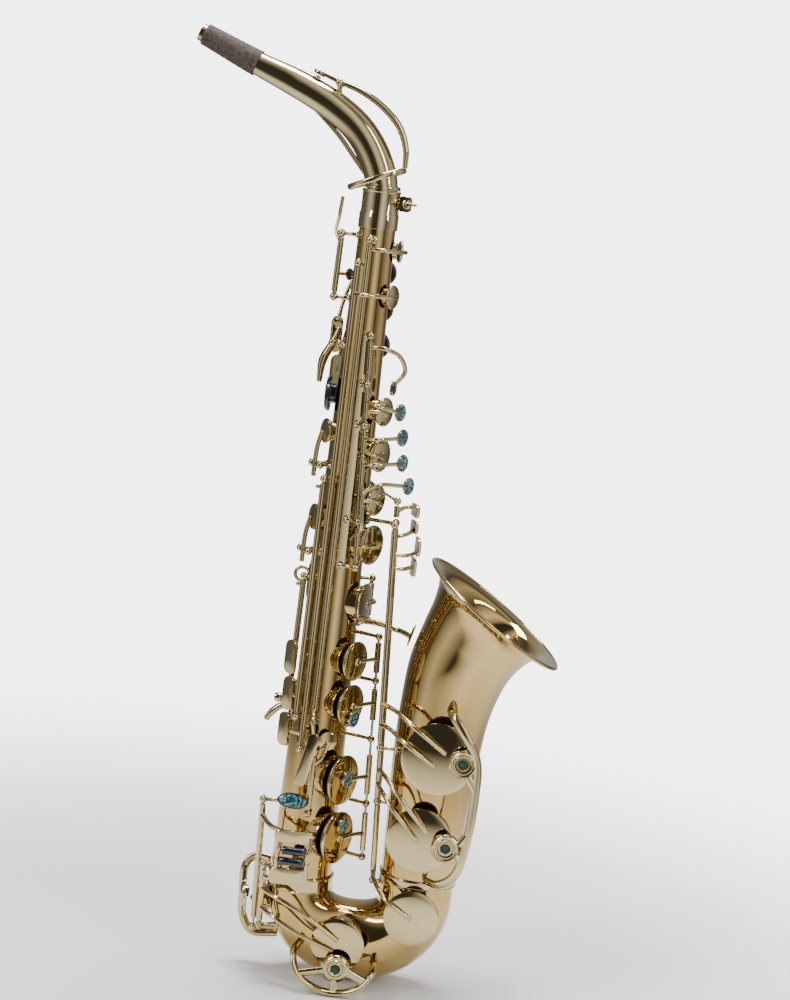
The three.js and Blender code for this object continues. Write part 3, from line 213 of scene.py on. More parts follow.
def outline(width, height, corner, per=6):
    """A rounded rectangle about the origin, anticlockwise."""
    points = []
    w, h = width / 2 - corner, height / 2 - corner
    for quarter, (x, y) in enumerate(((w, h), (-w, h), (-w, -h), (w, -h))):
        for k in range(per + 1):
            angle = (quarter + k / per) * math.pi / 2
            points.append((x + corner * math.cos(angle), y + corner * math.sin(angle)))
    return np.array(points)


def ellipse(width, height, points=40):
    turn = around(points)
    return np.stack((np.cos(turn) * width / 2, np.sin(turn) * height / 2), axis=1)


def slab(centre, normal, up, width, height, thickness, corner=3.0, dome=0.5, sweep=0.0):
    """A rounded plate with soft edges and a slightly domed face; without a corner radius it is oval.

    sweep bends it back at its ends.
    """
    normal = unit(normal)
    x = unit(np.cross(up, normal))
    y = np.cross(normal, x)
    half = thickness / 2
    levels = [(0.9, -half), (0.98, -half + 0.15), (1.0, -half * 0.5), (1.0, half * 0.4), (0.97, half * 0.85)]
    levels += [(0.88, half), (0.6, half + dome * 0.7), (0.2, half + dome)]
    flat = outline(width, height, corner) if corner else ellipse(width, height)
    small = np.array((1 - 1 / width, 1 - 1 / height))
    rings = []
    for share, depth in levels:
        spread = flat * (share if share < 0.88 else 1 - (1 - share) * 4 * (1 - small))
        bend = sweep * (spread[:, 1] / (height / 2)) ** 2
        rings.append(centre + np.outer(spread[:, 0], x) + np.outer(spread[:, 1], y)
                     + np.outer(depth - bend, normal))
    return loft(rings)


def moved(shape, turn):
    """A shape carried by a 4x4 matrix in millimetres."""
    if turn is None:
        return shape
    points, faces = shape
    return points @ turn[:3, :3].T + turn[:3, 3], faces


def place(name, body, material, *shapes, slot=None, replaces=(), turn=None, sharp=35):
    """Makes one piece of the visual from shapes and lets it ride on a CAD body."""
    corners, faces = moved(merged(*shapes), turn)
    mesh = bpy.data.meshes.new(name)
    mesh.from_pydata(((corners - STRAP_RING) / 1000).tolist(), [], faces)
    mesh.validate()
    mesh.materials.append(material)
    piece = bpy.data.objects.new(name, mesh)
    bpy.context.scene.collection.objects.link(piece)
    mesh.polygons.foreach_set("use_smooth", [True] * len(mesh.polygons))
    mesh.set_sharp_from_angle(angle=math.radians(sharp))
    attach(piece, body)
    if replaces:
        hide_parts(*replaces)
    return piece


# --- Materials ------------------------------------------------------------------------------


def shader(name, **inputs):
    material = bpy.data.materials.new(name)
    material.use_nodes = True
    surface = material.node_tree.nodes["Principled BSDF"]
    for key, value in inputs.items():
        surface.inputs[key.replace("_", " ")].default_value = value
    return material, material.node_tree.nodes, material.node_tree.links, surface


def noise(nodes, links, scale, detail=3.0, stretch=(1, 1, 1)):
    where = nodes.new("ShaderNodeTexCoord")
    sizing = nodes.new("ShaderNodeMapping")
    sizing.inputs["Scale"].default_value = stretch
    links.new(where.outputs["Object"], sizing.inputs["Vector"])
    texture = nodes.new("ShaderNodeTexNoise")
    texture.inputs["Scale"].default_value = scale
    texture.inputs["Detail"].default_value = detail
    links.new(sizing.outputs["Vector"], texture.inputs["Vector"])
    return texture.outputs["Fac"]


def ramp(nodes, links, source, stops):
    colours = nodes.new("ShaderNodeValToRGB")
    colours.color_ramp.elements[0].position = stops[0][0]
    colours.color_ramp.elements[0].color = (*stops[0][1], 1)
    colours.color_ramp.elements[1].position = stops[-1][0]
    colours.color_ramp.elements[1].color = (*stops[-1][1], 1)
    for position, colour in stops[1:-1]:
        colours.color_ramp.elements.new(position).color = (*colour, 1)
    links.new(source, colours.inputs["Fac"])
    return colours.outputs["Color"]


def spread(nodes, links, source, low, high):
    span = nodes.new("ShaderNodeMapRange")
    span.inputs["To Min"].default_value = low
    span.inputs["To Max"].default_value = high
    links.new(source, span.inputs["Value"])
    return span.outputs["Result"]


def bumped(nodes, links, surface, source, strength, distance):
    bump = nodes.new("ShaderNodeBump")
    bump.inputs["Strength"].default_value = strength
    bump.inputs["Distance"].default_value = distance
    links.new(source, bump.inputs["Height"])
    links.new(bump.outputs["Normal"], surface.inputs["Normal"])


def lacquered(name, pale, deep, rough):
    """Polished brass under clear lacquer: the tone drifts a little and the polish is not quite even."""
    material, nodes, links, surface = shader(name, Metallic=1.0, Coat_Weight=0.4, Coat_Roughness=0.03)
    patches = noise(nodes, links, 9.0)
    links.new(ramp(nodes, links, patches, [(0.35, deep), (0.65, pale)]), surface.inputs["Base Color"])
    links.new(spread(nodes, links, noise(nodes, links, 60.0), rough * 0.7, rough * 1.5),
              surface.inputs["Roughness"])
    bumped(nodes, links, surface, noise(nodes, links, 28.0, 1.0), 0.05, 0.002)
    return material


def steel(name, colour, rough):
    material, nodes, links, surface = shader(name, Metallic=1.0)
    grain = noise(nodes, links, 90.0, stretch=(1, 1, 0.1))
    links.new(ramp(nodes, links, grain, [(0.3, tuple(c * 0.75 for c in colour)), (0.7, colour)]),
              surface.inputs["Base Color"])
    links.new(spread(nodes, links, grain, rough * 0.8, rough * 1.3), surface.inputs["Roughness"])
    return material


def shell_pearl():
    """Abalone: bands of teal, blue and grey that bend round each other."""
    material, nodes, links, surface = shader("abalone_shell", Roughness=0.12, Coat_Weight=0.7,
                                             Coat_Roughness=0.04)
    warp = nodes.new("ShaderNodeTexWave")
    warp.inputs["Scale"].default_value = 45.0
    warp.inputs["Distortion"].default_value = 22.0
    warp.inputs["Detail"].default_value = 4.0
    warp.inputs["Detail Scale"].default_value = 2.5
    where = nodes.new("ShaderNodeTexCoord")
    links.new(where.outputs["Object"], warp.inputs["Vector"])
    tones = [(0.0, (0.006, 0.020, 0.030)), (0.3, (0.012, 0.085, 0.105)), (0.5, (0.045, 0.20, 0.20)),
             (0.68, (0.015, 0.055, 0.12)), (0.85, (0.10, 0.24, 0.20)), (1.0, (0.26, 0.38, 0.36))]
    links.new(ramp(nodes, links, warp.outputs["Fac"], tones), surface.inputs["Base Color"])
    return material


def dyed_plastic(name, light, dark, rough):
    material, nodes, links, surface = shader(name, Coat_Weight=0.5, Coat_Roughness=0.05)
    cloud = noise(nodes, links, 40.0)
    links.new(ramp(nodes, links, cloud, [(0.3, dark), (0.7, light)]), surface.inputs["Base Color"])
    links.new(spread(nodes, links, cloud, rough * 0.7, rough * 1.3), surface.inputs["Roughness"])
    return material


def cork_sheet():
    material, nodes, links, surface = shader("cork_sheet", Roughness=0.85)
    grains = noise(nodes, links, 620.0, 5.0)
    tones = [(0.3, (0.010, 0.007, 0.006)), (0.42, (0.062, 0.046, 0.037)), (0.58, (0.092, 0.070, 0.056)),
             (0.75, (0.14, 0.11, 0.088))]
    links.new(ramp(nodes, links, grains, tones), surface.inputs["Base Color"])
    bumped(nodes, links, surface, grains, 0.5, 0.0006)
    return material


def fibrous(name, light, dark, scale):
    material, nodes, links, surface = shader(name, Roughness=0.9, Sheen_Weight=0.3)
    fibres = noise(nodes, links, scale, 5.0)
    links.new(ramp(nodes, links, fibres, [(0.35, dark), (0.65, light)]), surface.inputs["Base Color"])
    bumped(nodes, links, surface, fibres, 0.3, 0.0003)
    return material


BRASS = lacquered("body_lacquer", (0.58, 0.42, 0.17), (0.48, 0.31, 0.09), 0.05)
KEYS = lacquered("key_lacquer", (0.59, 0.49, 0.27), (0.49, 0.38, 0.17), 0.055)
NECK = lacquered("neck_lacquer", (0.57, 0.48, 0.26), (0.48, 0.38, 0.17), 0.09)
STEEL = steel("polished_steel", (0.52, 0.52, 0.53), 0.22)
BLUED = steel("blued_steel", (0.05, 0.07, 0.16), 0.25)
PEARL = shell_pearl()
NAVY = dyed_plastic("navy_plastic", (0.008, 0.012, 0.036), (0.002, 0.003, 0.012), 0.16)
CORK = cork_sheet()
PAD = fibrous("pad_leather", (0.055, 0.026, 0.016), (0.018, 0.009, 0.007), 120.0)
FELT = fibrous("felt", (0.012, 0.075, 0.040), (0.004, 0.030, 0.018), 500.0)

# --- Parts used over and over ---------------------------------------------------------------


class Line:
    """A hinge line through two points, and the point on it at any height."""

    def __init__(self, low, high):
        self.low, self.high = vec(*low), vec(*high)
        self.axis = unit(self.high - self.low)

    def at(self, z):
        return mix(self.low, self.high, (z - self.low[2]) / (self.high[2] - self.low[2]))


def rest_turn(hinge, degrees):
    """The turn about a hinge line by the angle at which a key rests."""
    turn = Matrix.Rotation(math.radians(degrees), 4, Vector(hinge.axis))
    base = Matrix.Translation(Vector(hinge.low))
    return np.array(base @ turn @ base.inverted())


def rod(a, b, radius, sides=20, chamfer=0.25):
    length = np.linalg.norm(b - a)
    profile = [(radius - chamfer, 0), (radius, chamfer), (radius, length - chamfer),
               (radius - chamfer, length)]
    return turned(profile, a, b - a, sides)


def hinge_tube(a, b, radius=TUBE):
    """A key's tube with a turned collar near each end."""
    length = np.linalg.norm(b - a)
    collar = [(radius - 0.3, 0), (radius, 0.3), (radius, 2.4), (radius - 0.25, 2.5), (radius - 0.25, 2.9),
              (radius, 3.0)]
    if length < 8:
        return rod(a, b, radius)
    other = [(r, length - h) for r, h in reversed(collar)]
    return turned(collar + other, a, b - a, 24)


def post(foot, head):
    """A turned post: foot flange, waisted shank and drilled ball."""
    length = np.linalg.norm(head - foot)
    shank = [(2.9, 0), (2.9, 0.8), (2.2, 1.3), (1.6, 2.2)] if length > 6 else [(2.2, 0), (1.6, 1.2)]
    return merged(turned([*shank, (1.25, length - 3.2), (1.6, length - 2.0)], foot, head - foot, 24),
                  ball(head, BALL, 24))


def cup_brass(face, axis, radius):
    """A key cup seen from outside: its lip, its rolled shoulder and its gently domed back."""
    r = radius
    profile = [(r - 1.0, 1.7), (r - 0.1, 1.5), (r, 1.8), (r, 2.2), (r - 0.25, 2.6), (r - 0.9, 2.85)]
    profile += [(r * share, 2.85 + 1.2 * (1 - share**2)) for share in (0.9, 0.8, 0.65, 0.5, 0.35, 0.2, 0.1,
                                                                       0)]
    return turned(profile, face, axis, 72)


def cup_pad(face, axis, radius):
    """The leather pad, a little narrower than its cup."""
    r = radius - 0.45
    profile = [(0, 0.15), (r * 0.9, 0.12), (r - 0.4, 0.3), (r, 0.8), (r - 0.05, 1.5), (r - 0.6, 2.2)]
    return turned(profile, face, axis, 48)


def pad_for(face, axis, radius):
    """The pad as an extra piece of a key."""
    return ("pad", PAD, [cup_pad(face, axis, radius)])


def chimney(top, axis, bore, depth):
    """A tone hole's wall with its rounded rim; top is the middle of the rim."""
    r = bore + SKIRT
    profile = [(r, -depth), (r, -0.35), (r - 0.15, -0.08), (r - 0.4, 0), (bore + 0.1, -0.1), (bore, -0.4),
               (bore, -depth)]
    return turned(profile, top, axis, 56)


def pearl(centre, axis, radius):
    """A concave pearl button."""
    r = radius
    return turned([(r, -1), (r, 0.2), (r - 0.3, 0.6), (r * 0.7, 0.45), (r * 0.4, 0.2), (0, 0.1)], centre,
                  axis, 36)


def pearl_cup(centre, axis, radius, depth):
    r = radius
    profile = [(r * 0.55, -depth), (r * 0.85, -depth + 0.5), (r, -depth * 0.4), (r, -0.1), (r - 0.3, 0.15),
               (r - 0.75, 0.0), (r - 0.8, -0.5)]
    return turned(profile, centre, axis, 36)


def spring(start, heading, length=20.0):
    """A blued needle spring standing out of its post."""
    return tube([start, start + unit(heading) * length], [0.42, 0.22], 8)


# --- Tone holes and lines -------------------------------------------------------------------

# Height, angle from the front towards the viewer, bore and chimney height.
BODY_HOLES = {
    "high_fs": (466, -8, 5, 2.6), "high_f": (450, -60, 5.5, 2.6), "high_e": (434, 25, 5.5, 2.6),
    "high_eb": (424, -60, 6, 2.6), "high_d": (398, -60, 6.5, 2.6), "c": (353, 22, 7.5, 3),
    "side_c": (335, 152, 6, 3), "b": (322, 22, 9.2, 3), "a": (290, 22, 8.5, 3),
    "side_bb": (273, 152, 6.5, 3), "g": (257.5, 22, 11.5, 3), "gs": (214, 14, 12, 3),
    "fs": (174, 38, 11.5, 3.5), "f": (141.5, 38, 12.5, 3.5), "fs_trill": (115, 68, 4, 3),
    "e": (87, 38, 15.3, 3.5), "d": (44.5, 38, 16.2, 3.5),
}
# Centre x and z, bore, where the rim is along Y, and the cup's radius.
SIDE_HOLES = {
    "low_c": (35.5, -28.5, 15.5, -31.5, 19.5), "low_cs": (84.8, -2.5, 16.5, -33, 20),
    "low_b": (85.5, 56, 19.5, -34.5, 23.5), "low_bb": (91, 117, 22, -36.5, 26),
}
LINES = {
    "upper": Line((14.5, -23, 240), (5.5, -20, 412)), "lower": Line((43, 1, 24), (35.5, 1, 198)),
    "b": Line((49.5, -10, 72), (38.3, -10, 275)), "bb": Line((47.2, -17, 112), (38.3, -17, 275)),
    "cs": Line((52.8, -3, 12), (38.3, -3, 275)), "high_fs": Line((-1.5, -31, 118), (-2.5, -23, 470)),
    "high_e": Line((-8.5, -30, 108), (-9, -21.5, 457)), "side_c": Line((-15, -27, 130), (-15, -23.5, 303)),
    "side_bb": Line((-22.8, -11.5, 152), (-22, -11.5, 230)), "palm": Line((-3.5, 25, 384), (-3, 22.5, 464)),
    "octave": Line((-25, -4, 427), (-24, -4, 494)), "eb": Line((-29.5, -14, -28), (-32.5, -12, 64)),
    "low_c": Line((-24.5, -19.5, -28), (-25.5, -20, 18)), "trill": Line((2, -31, 62), (2, -31, 108)),
    "gs": Line((25, 18, 198), (25, 18, 230)),
}
SPAN = {
    "front_f": (378, 402), "c": (348, 366), "b": (324, 338), "a": (280, 322), "g": (246, 270),
    "fs": (164, 186), "f": (129, 152), "e": (74, 103), "d": (32, 60), "high_f": (442, 458),
    "high_eb": (416, 432), "high_d": (390, 406), "high_fs": (133, 469), "high_e": (112, 452),
    "side_c": (134, 299), "side_bb": (156, 226), "trill": (66, 104), "eb": (-24, 60), "low_c": (-24, 14),
    "low_cs": (15.5, 251), "cs_touch": (254, 271), "gs_touch": (279, 287), "gs": (202, 226),
    "low_b": (76, 271), "low_bb": (117, 271), "octave": (433, 471),
}
EB_HOLE, EB_BORE = vec(-26.5, 0, -12), 8.5
LOW_REST, BELL_REST, UPPER_REST, LOWER_REST = -3, -4, -8, 8


def hole_frame(name):
    z, phi, bore, rise = BODY_HOLES[name]
    top = body_radius(z) + rise
    return polar(phi, top, z), polar(phi, top + GAP, z), outward(phi), bore + CUP_LIP


def span_tube(hinge, name):
    low, high = SPAN[name]
    return hinge_tube(hinge.at(low), hinge.at(high))


# --- The instrument's own tubes -------------------------------------------------------------


def oval(inner, outer, wide, sides=56):
    """A ring across the XZ plane: its inner and outer points there, and its half width along Y."""
    return (inner + outer) / 2 + circle(sides, (outer - inner) / 2, vec(0, wide, 0))


def grown(inner, outer, wide, amount):
    step = unit(outer - inner) * amount
    return inner - step, outer + step, wide + amount


def pushed(ring, heading, distance):
    inner, outer, wide = ring
    return inner + heading * distance, outer + heading * distance, wide


def on_body(phi, z):
    return polar(phi, body_radius(z) - 0.6, z)


def end_posts(name, phi):
    hinge = LINES[name]
    low, high = SPAN[name]
    return [(on_body(phi, z), hinge.at(z)) for z in (low - PIVOT_GAP, high + PIVOT_GAP)]


def side_hinge(name):
    z, phi = BODY_HOLES[name][:2]
    centre = polar(phi, body_radius(z - 24) + 9.5, z - 24)
    across = outward(phi + 90) * 4
    return Line(centre - across, centre + across)


SIDE_HINGES = {name: side_hinge(name) for name in ("side_c", "side_bb")}
THUMB_PIVOT = vec(-21.5, 0, 398)
OCTAVE_PAD_Z, OCTAVE_PAD_PHI = 446, 202


def body_posts():
    posts = []
    for name, phi in (("high_fs", 95), ("high_e", 108), ("side_c", 124), ("side_bb", 152), ("trill", 86),
                      ("gs", -46), ("octave", 172)):
        posts += end_posts(name, phi)
    posts += [(on_body(-98, z), LINES["palm"].at(z)) for z in (461.4, 437, 411, 386.6)]
    for hinge in SIDE_HINGES.values():
        for end, step in ((hinge.low, -PIVOT_GAP), (hinge.high, PIVOT_GAP)):
            head = end + hinge.axis * step
            level = unit(head * vec(1, 1, 0))
            posts.append((level * (body_radius(head[2]) - 0.6) + UP * head[2], head))
    for side in (-1, 1):
        posts.append((vec(-13, side * 5, 396), vec(THUMB_PIVOT[0], side * 8.4, THUMB_PIVOT[2])))
    posts.append((on_body(157, 63.4), LINES["eb"].at(63.4)))
    posts.append((on_body(141, 17.4), LINES["low_c"].at(17.4)))
    posts.append((on_body(-32, 301), LINES["cs"].at(290.4)))
    return posts


def body_tube():
    rings = [turned([(body_radius(z), z)], vec(0, 0, 0), UP, 72)[0] for z in np.linspace(BODY_FOOT, BODY_TOP,
                                                                                         60)]
    shapes = [loft(rings)]
    for name in BODY_HOLES:
        top, _, axis, _ = hole_frame(name)
        shapes.append(chimney(top, axis, BODY_HOLES[name][2], 11))
    z = OCTAVE_PAD_Z
    shapes.append(rod(on_body(OCTAVE_PAD_PHI, z), polar(OCTAVE_PAD_PHI, body_radius(z) + 2.5, z), 2))
    place("body_tube.wall", "instrument", BRASS, *shapes, replaces=["body_tube"])
    place("body_tube.posts", "instrument", KEYS, *[post(*ends) for ends in body_posts()])
    springs = [spring(head + unit(vec(*head[:2], 0)) * -1.6, UP * (1 if i % 2 == 0 else -1), 17)
               for i, (_, head) in enumerate(body_posts()[:14])]
    place("body_tube.springs", "instrument", BLUED, *springs)


def bow_ring(angle):
    reach = mix(BOW_CENTRE_X + FOOT_RADIUS, BELL_X + BELL_FOOT_RADIUS - BOW_CENTRE_X, angle / math.pi)
    right = BELL_X - BELL_FOOT_RADIUS
    saddle, half = (FOOT_RADIUS + right) / 2, (right - FOOT_RADIUS) / 2
    outer = vec(BOW_CENTRE_X - reach * math.cos(angle), 0, -BOW_DEPTH * math.sin(angle))
    inner = vec(saddle - half * math.cos(angle), 0, -SADDLE_DEPTH * math.sin(angle))
    return inner, outer, mix(FOOT_RADIUS, BELL_FOOT_RADIUS, angle / math.pi) + 1.5 * math.sin(angle)


def side_chimney(name, depth):
    x, z, bore, top, _ = SIDE_HOLES[name]
    return chimney(vec(x, top, z), VIEWER, bore, depth)


def bow():
    rings = [oval(*bow_ring(a)) for a in np.linspace(0, math.pi, 56)]
    inner, outer, wide = bow_ring(math.pi)
    rings.append(oval(inner * vec(1, 1, 0) + UP * BOW_BELL_LEVEL, outer * vec(1, 1, 0) + UP * BOW_BELL_LEVEL,
                      wide))
    eb = chimney(EB_HOLE, vec(-1, 0, 0), EB_BORE, 12)
    place("bow.wall", "instrument", BRASS, loft(rings), side_chimney("low_c", 12),
          side_chimney("low_cs", 12), eb,
          replaces=["bow"])
    posts = [(vec(-13, -8, -31.4), LINES["eb"].at(-31.4)), (vec(-12, -13, -27.4), LINES["low_c"].at(-27.4)),
             (vec(59.2, -3, 12.1), LINES["cs"].at(12.1))]
    place("bow.posts", "instrument", KEYS, *[post(*ends) for ends in posts])


BELL_LEFT = [(58.1, 20.35), (57.1, 60), (56.2, 110), (57.0, 146), (60.0, 181), (66.5, 205), (72.6, 226),
             (73.6, 240), (67.6, 250.6)]
BELL_RIGHT = [(111.7, 20.35), (115.2, 60), (118.4, 110), (122.8, 144), (131.5, 169.5), (140.8, 182.9),
              (150.5, 190.3), (157, 190.6), (165.0, 185.4)]
BELL_SIDES = 96


def bell():
    left, right = (smooth_line([(x, 0, z) for x, z in side], 9) for side in (BELL_LEFT, BELL_RIGHT))
    rings = [(a, b, np.linalg.norm(b - a) / 2) for a, b in zip(left, right)]
    middles = [(a + b) / 2 for a, b, _ in rings]
    last = len(rings) - 1
    inside = [grown(*rings[0], -WALL)]
    for i in range(1, last + 1):
        heading = unit(middles[i] - middles[i - 1])
        inside.append(pushed(grown(*rings[i], -WALL), heading, WALL * (i / last) ** 3))
    skin = [oval(*ring, BELL_SIDES) for ring in (*rings, *reversed(inside))]
    heading = unit(middles[last] - middles[last - 1])
    bead = []
    for angle in around(14):
        edge = grown(*rings[last], -0.45 + 1.4 * math.cos(angle))
        bead.append(oval(*pushed(edge, heading, 0.5 + 1.4 * math.sin(angle)), BELL_SIDES))
    place("bell.wall", "instrument", BRASS, loft(skin, closed=True), loft(bead, closed=True),
          side_chimney("low_b", 9), side_chimney("low_bb", 9), replaces=["bell"])
    posts = [(vec(60, -14, 113.6), LINES["bb"].at(113.6)), (vec(58.8, -9, 72.6), LINES["b"].at(72.6))]
    place("bell.posts", "instrument", KEYS, *[post(*ends) for ends in posts])


def bow_rings():
    """Two flat bands with a bead at each edge."""
    for name, x, radius, low, high in (("body_bow_ring", 0, FOOT_RADIUS, 0, 11.4),
                                       ("bell_bow_ring", BELL_X, BELL_FOOT_RADIUS, 15.6, 22)):
        r = radius + 1.55
        flat = [(radius + 0.2, low), (r - 0.2, low), (r, low + 0.3), (r, low + 1.2), (r - 0.4, low + 1.5),
                (r - 0.4, high - 1.5), (r, high - 1.2), (r, high - 0.3), (r - 0.2, high), (radius + 0.2,
                                                                                           high)]
        place(name + ".band", "instrument", KEYS, turned(flat, vec(x, 0, 0), UP, 96), replaces=[name])


# --- Neck -----------------------------------------------------------------------------------

NECK_LINE = [(0, 486), (0, 509), (-3, 519), (-10.5, 534), (-23, 549), (-42, 562), (-70, 574.5),
             (-97.5, 584.5),
             (-139.5, 601.6)]
NECK_RADII = (11, 11, 11.6, 11.5, 11.2, 10.8, 9.9, 8.3, 6.2)
NECK_PER = 8
CORK_START = 0.872
NECK_POINTS = smooth_line([(x, 0, z) for x, z in NECK_LINE], NECK_PER)
PIVOT = vec(-38, 0, 577.5)
OCTAVE_PIP = 0.7
RECEIVER_TOP = 507.5


def neck_at(t):
    """Centre, heading and radius of the neck at a share of its length."""
    place_at = t * (len(NECK_POINTS) - 1)
    centre = np.array([np.interp(place_at, np.arange(len(NECK_POINTS)), NECK_POINTS[:, k]) for k in range(3)])
    slopes = np.gradient(NECK_POINTS, axis=0)
    heading = unit(np.array([np.interp(place_at, np.arange(len(NECK_POINTS)),
                                       slopes[:, k]) for k in range(3)]))
    return centre, heading, np.interp(t * 8, range(9), NECK_RADII)


def neck_lift(t):
    heading = neck_at(t)[1]
    return vec(heading[2], 0, -heading[0])


def neck_ring(t, extra, sides=48):
    centre, heading, radius = neck_at(t)
    lift = vec(heading[2], 0, -heading[0]) * (radius + extra)
    return oval(centre - lift, centre + lift, radius + extra, sides)


NECK_END = 0.9996  # the rim stops a hair short of the CAD tube's end, inside its box


def neck():
    steps = np.linspace(0, NECK_END, 70)
    outside = [neck_ring(t, 0) for t in steps]
    inside = [neck_ring(t, -WALL) for t in reversed(steps)]
    collar = turned([(11.2, 0), (13.0, 0.1), (13.2, 0.5), (13.2, 1.6), (12.7, 2.4), (12.4, 3.0), (11.3, 3.1)],
                    vec(0, 0, RECEIVER_TOP + GAP), UP, 56)
    pip_at, pip_lift = neck_at(OCTAVE_PIP)[0], neck_lift(OCTAVE_PIP)
    pip = turned([(3.2, 7.8), (3.2, 9.4), (2.1, 10), (2, 12.3), (1.0, 12.3)], pip_at, pip_lift, 24)
    ears = [post(vec(PIVOT[0], s * 4.5, PIVOT[2] - 9), vec(PIVOT[0], s * 7.6, PIVOT[2])) for s in (-1, 1)]
    brace = tube([neck_at(t)[0] - neck_lift(t) * d for t,
                  d in ((0.27, 10.6), (0.38, 13.3), (0.52, 13.3), (0.66, 9.2))],
                 [1.2, 1.8, 1.8, 1.2], 16, flat=1.0)
    place("neck_tube.wall", "neck", NECK, loft([*outside, *inside], closed=True), collar, pip, brace,
          replaces=["neck_tube"])
    place("neck_tube.posts", "neck", KEYS, *ears)
    cork_places = np.linspace(CORK_START, 0.990, 12)
    cork = [neck_ring(CORK_START, 0.2), *[neck_ring(t, mix(1.0, 1.4, i / 11)) for i,
                                          t in enumerate(cork_places)]]
    place("neck_cork.sheet", "neck", CORK, loft([*cork, neck_ring(0.991, 0.2)], capped=False),
          replaces=["neck_cork"])


def receiver():
    sleeve = turned([(11.8, 479.9), (13.9, 479.9), (14.1, 480.4), (14.1, 490.5), (13.6, 491.6), (13.4, 492.6),
                     (13.4, 505.5), (13.9, 506.1), (13.9, 507.2), (13.4, 507.5), (11.8, 507.5), (11.7, 507)],
                    vec(0, 0, 0), UP, 64)
    lugs = [slab(vec(17.5, s * 2.6, 499.5), vec(0, s, 0), UP, 9, 11, 2.3, 2.4, 0.1) for s in (-1, 1)]
    place("neck_receiver.sleeve", "instrument", KEYS, sleeve, *lugs, replaces=["neck_receiver"])
    shank = rod(vec(19, 6.5, 499.5), vec(19, -8, 499.5), 1.6)
    head = turned([(2.6, 0), (3.2, 0.4), (3.2, 2.4), (2.2, 3)], vec(19, -4.5, 499.5), VIEWER, 28)
    wing = slab(vec(21.5, -10.5, 499.5), UP, vec(1, 0, 0), 7.2, 9.6, 1.8, 3.2, 0.2)
    place("clamp_screw.wing", "clamp_screw", KEYS, shank, head, wing, replaces=["clamp_screw"])


# --- Small fixed parts ----------------------------------------------------------------------


def strap_ring():
    z = STRAP_RING[2]
    loop = hoop(STRAP_RING, vec(5, 0, 0), vec(0, 0, 5), 1.38, vec(0, 1.38, 0), 40, 16)
    surface = -body_radius(z) - GAP
    base = slab(vec(surface - 0.9, 0, z - 3), vec(-1, 0, 0), UP, 9, 26, 1.6, 4, 0.3)
    place("strap_ring.loop", "instrument", KEYS, loop, base, replaces=["strap_ring"])


def thumb_parts():
    surface = -body_radius(126) - GAP
    base = slab(vec(surface - 1.1, 0, 126), vec(-1, 0, 0), UP, 12, 30, 2, 5, 0.3)
    hook = tube([(surface - 1, 0, 131), (surface - 8, 0, 131), (surface - 14, 0, 126),
                 (surface - 18.3, 0, 119.5)], [2.4, 2.6, 2.6, 2.2], 20, flat=1.0)
    place("thumb_hook.hook", "instrument", KEYS, base, hook, replaces=["thumb_hook"])
    surface = -body_radius(139) - GAP
    shank = rod(vec(surface - 2.6, 0, 137), vec(surface - 9, 0, 137), 1.6)
    knob = turned([(1.6, -3.4), (3.0, -2.6), (3.35, -1.0), (3.35, 1.0), (2.9, 2.6), (1.4, 3.2)],
                  vec(surface - 11, 0, 137), vec(-1, 0, 0), 32)
    place("thumb_hook_screw.knob", "instrument", KEYS, shank, knob, replaces=["thumb_hook_screw"])
    surface = -body_radius(361) - GAP
    profile = [(7, 0), (7, 3.2), (12.4, 3.3), (13, 4.0), (12.6, 5.6), (10.8, 7.0), (7, 7.4), (3, 7.1),
               (0, 7.0)]
    rest = turned(profile, vec(surface, 0, 361), vec(-1, 0, 0), 56)
    place("thumb_rest.disc", "instrument", NAVY, rest, replaces=["thumb_rest"])


def rib(name, phi, hinge, heights):
    low, high = min(heights) - 3, max(heights) + 3
    rows = []
    for z in np.linspace(low, high, 24):
        rows.append([polar(phi + turn, body_radius(z) + rise, z) for turn, rise in
                     ((-9.5, 0.3), (-9.5, 1.2), (-8.5, 1.6), (0, 1.65), (8.5, 1.6), (9.5, 1.2), (9.5, 0.3))])
    strip = loft([np.array(row) for row in rows])
    posts = [post(polar(phi, body_radius(hinge.at(z)[2]) + 1.2, z), hinge.at(z)) for z in heights]
    place(name + ".strip", "instrument", KEYS, strip, *posts, replaces=[name])


def ribs_and_rods():
    rib("upper_stack_rib", 80, LINES["upper"], (242, 275, 343, 372, 406))
    rib("lower_stack_rib", -32, LINES["lower"], (27, 67, 115, 158, 190.5))
    for name, line_name, low, high in (("upper_stack_rod", "upper", 240, 408),
                                       ("lower_stack_rod", "lower", 25, 192.5)):
        hinge = LINES[line_name]
        place(name + ".rod", "instrument", STEEL, rod(hinge.at(low), hinge.at(high), 1.0), replaces=[name])


def bracket_and_brace():
    z = LINES["bb"].high[2]
    base = polar(8, body_radius(z) + GAP + 0.9, z)
    heads = [LINES[name].at(z) for name in ("bb", "b", "cs")]
    bar = rod(heads[0], heads[2], 1.5)
    stem = tube([base, (30, -6, z), heads[1]], 1.5)
    foot = slab(base, outward(8), UP, 10, 7.5, 1.6, 2.5, 0.3)
    place("bell_rod_bracket.arm", "instrument", KEYS, bar, stem, foot,
          *[ball(head, BALL, 24) for head in heads],
          replaces=["bell_rod_bracket"])
    foot_at = polar(-20, body_radius(199) + GAP + 1.6, 199)
    end = vec(58.4, 0, 194)
    place("bell_brace.strut", "instrument", KEYS, slab(foot_at, outward(-20), UP, 9, 8, 1.6, 3.5, 0.3),
          tube([foot_at, (32, 13, 198), (49, 11, 195), end], 2.2, 16),
          slab(end + vec(0.6, 0, 1), vec(-0.97, 0, 0.25), UP, 8, 16, 1.6, 3.5, 0.3), replaces=["bell_brace"])


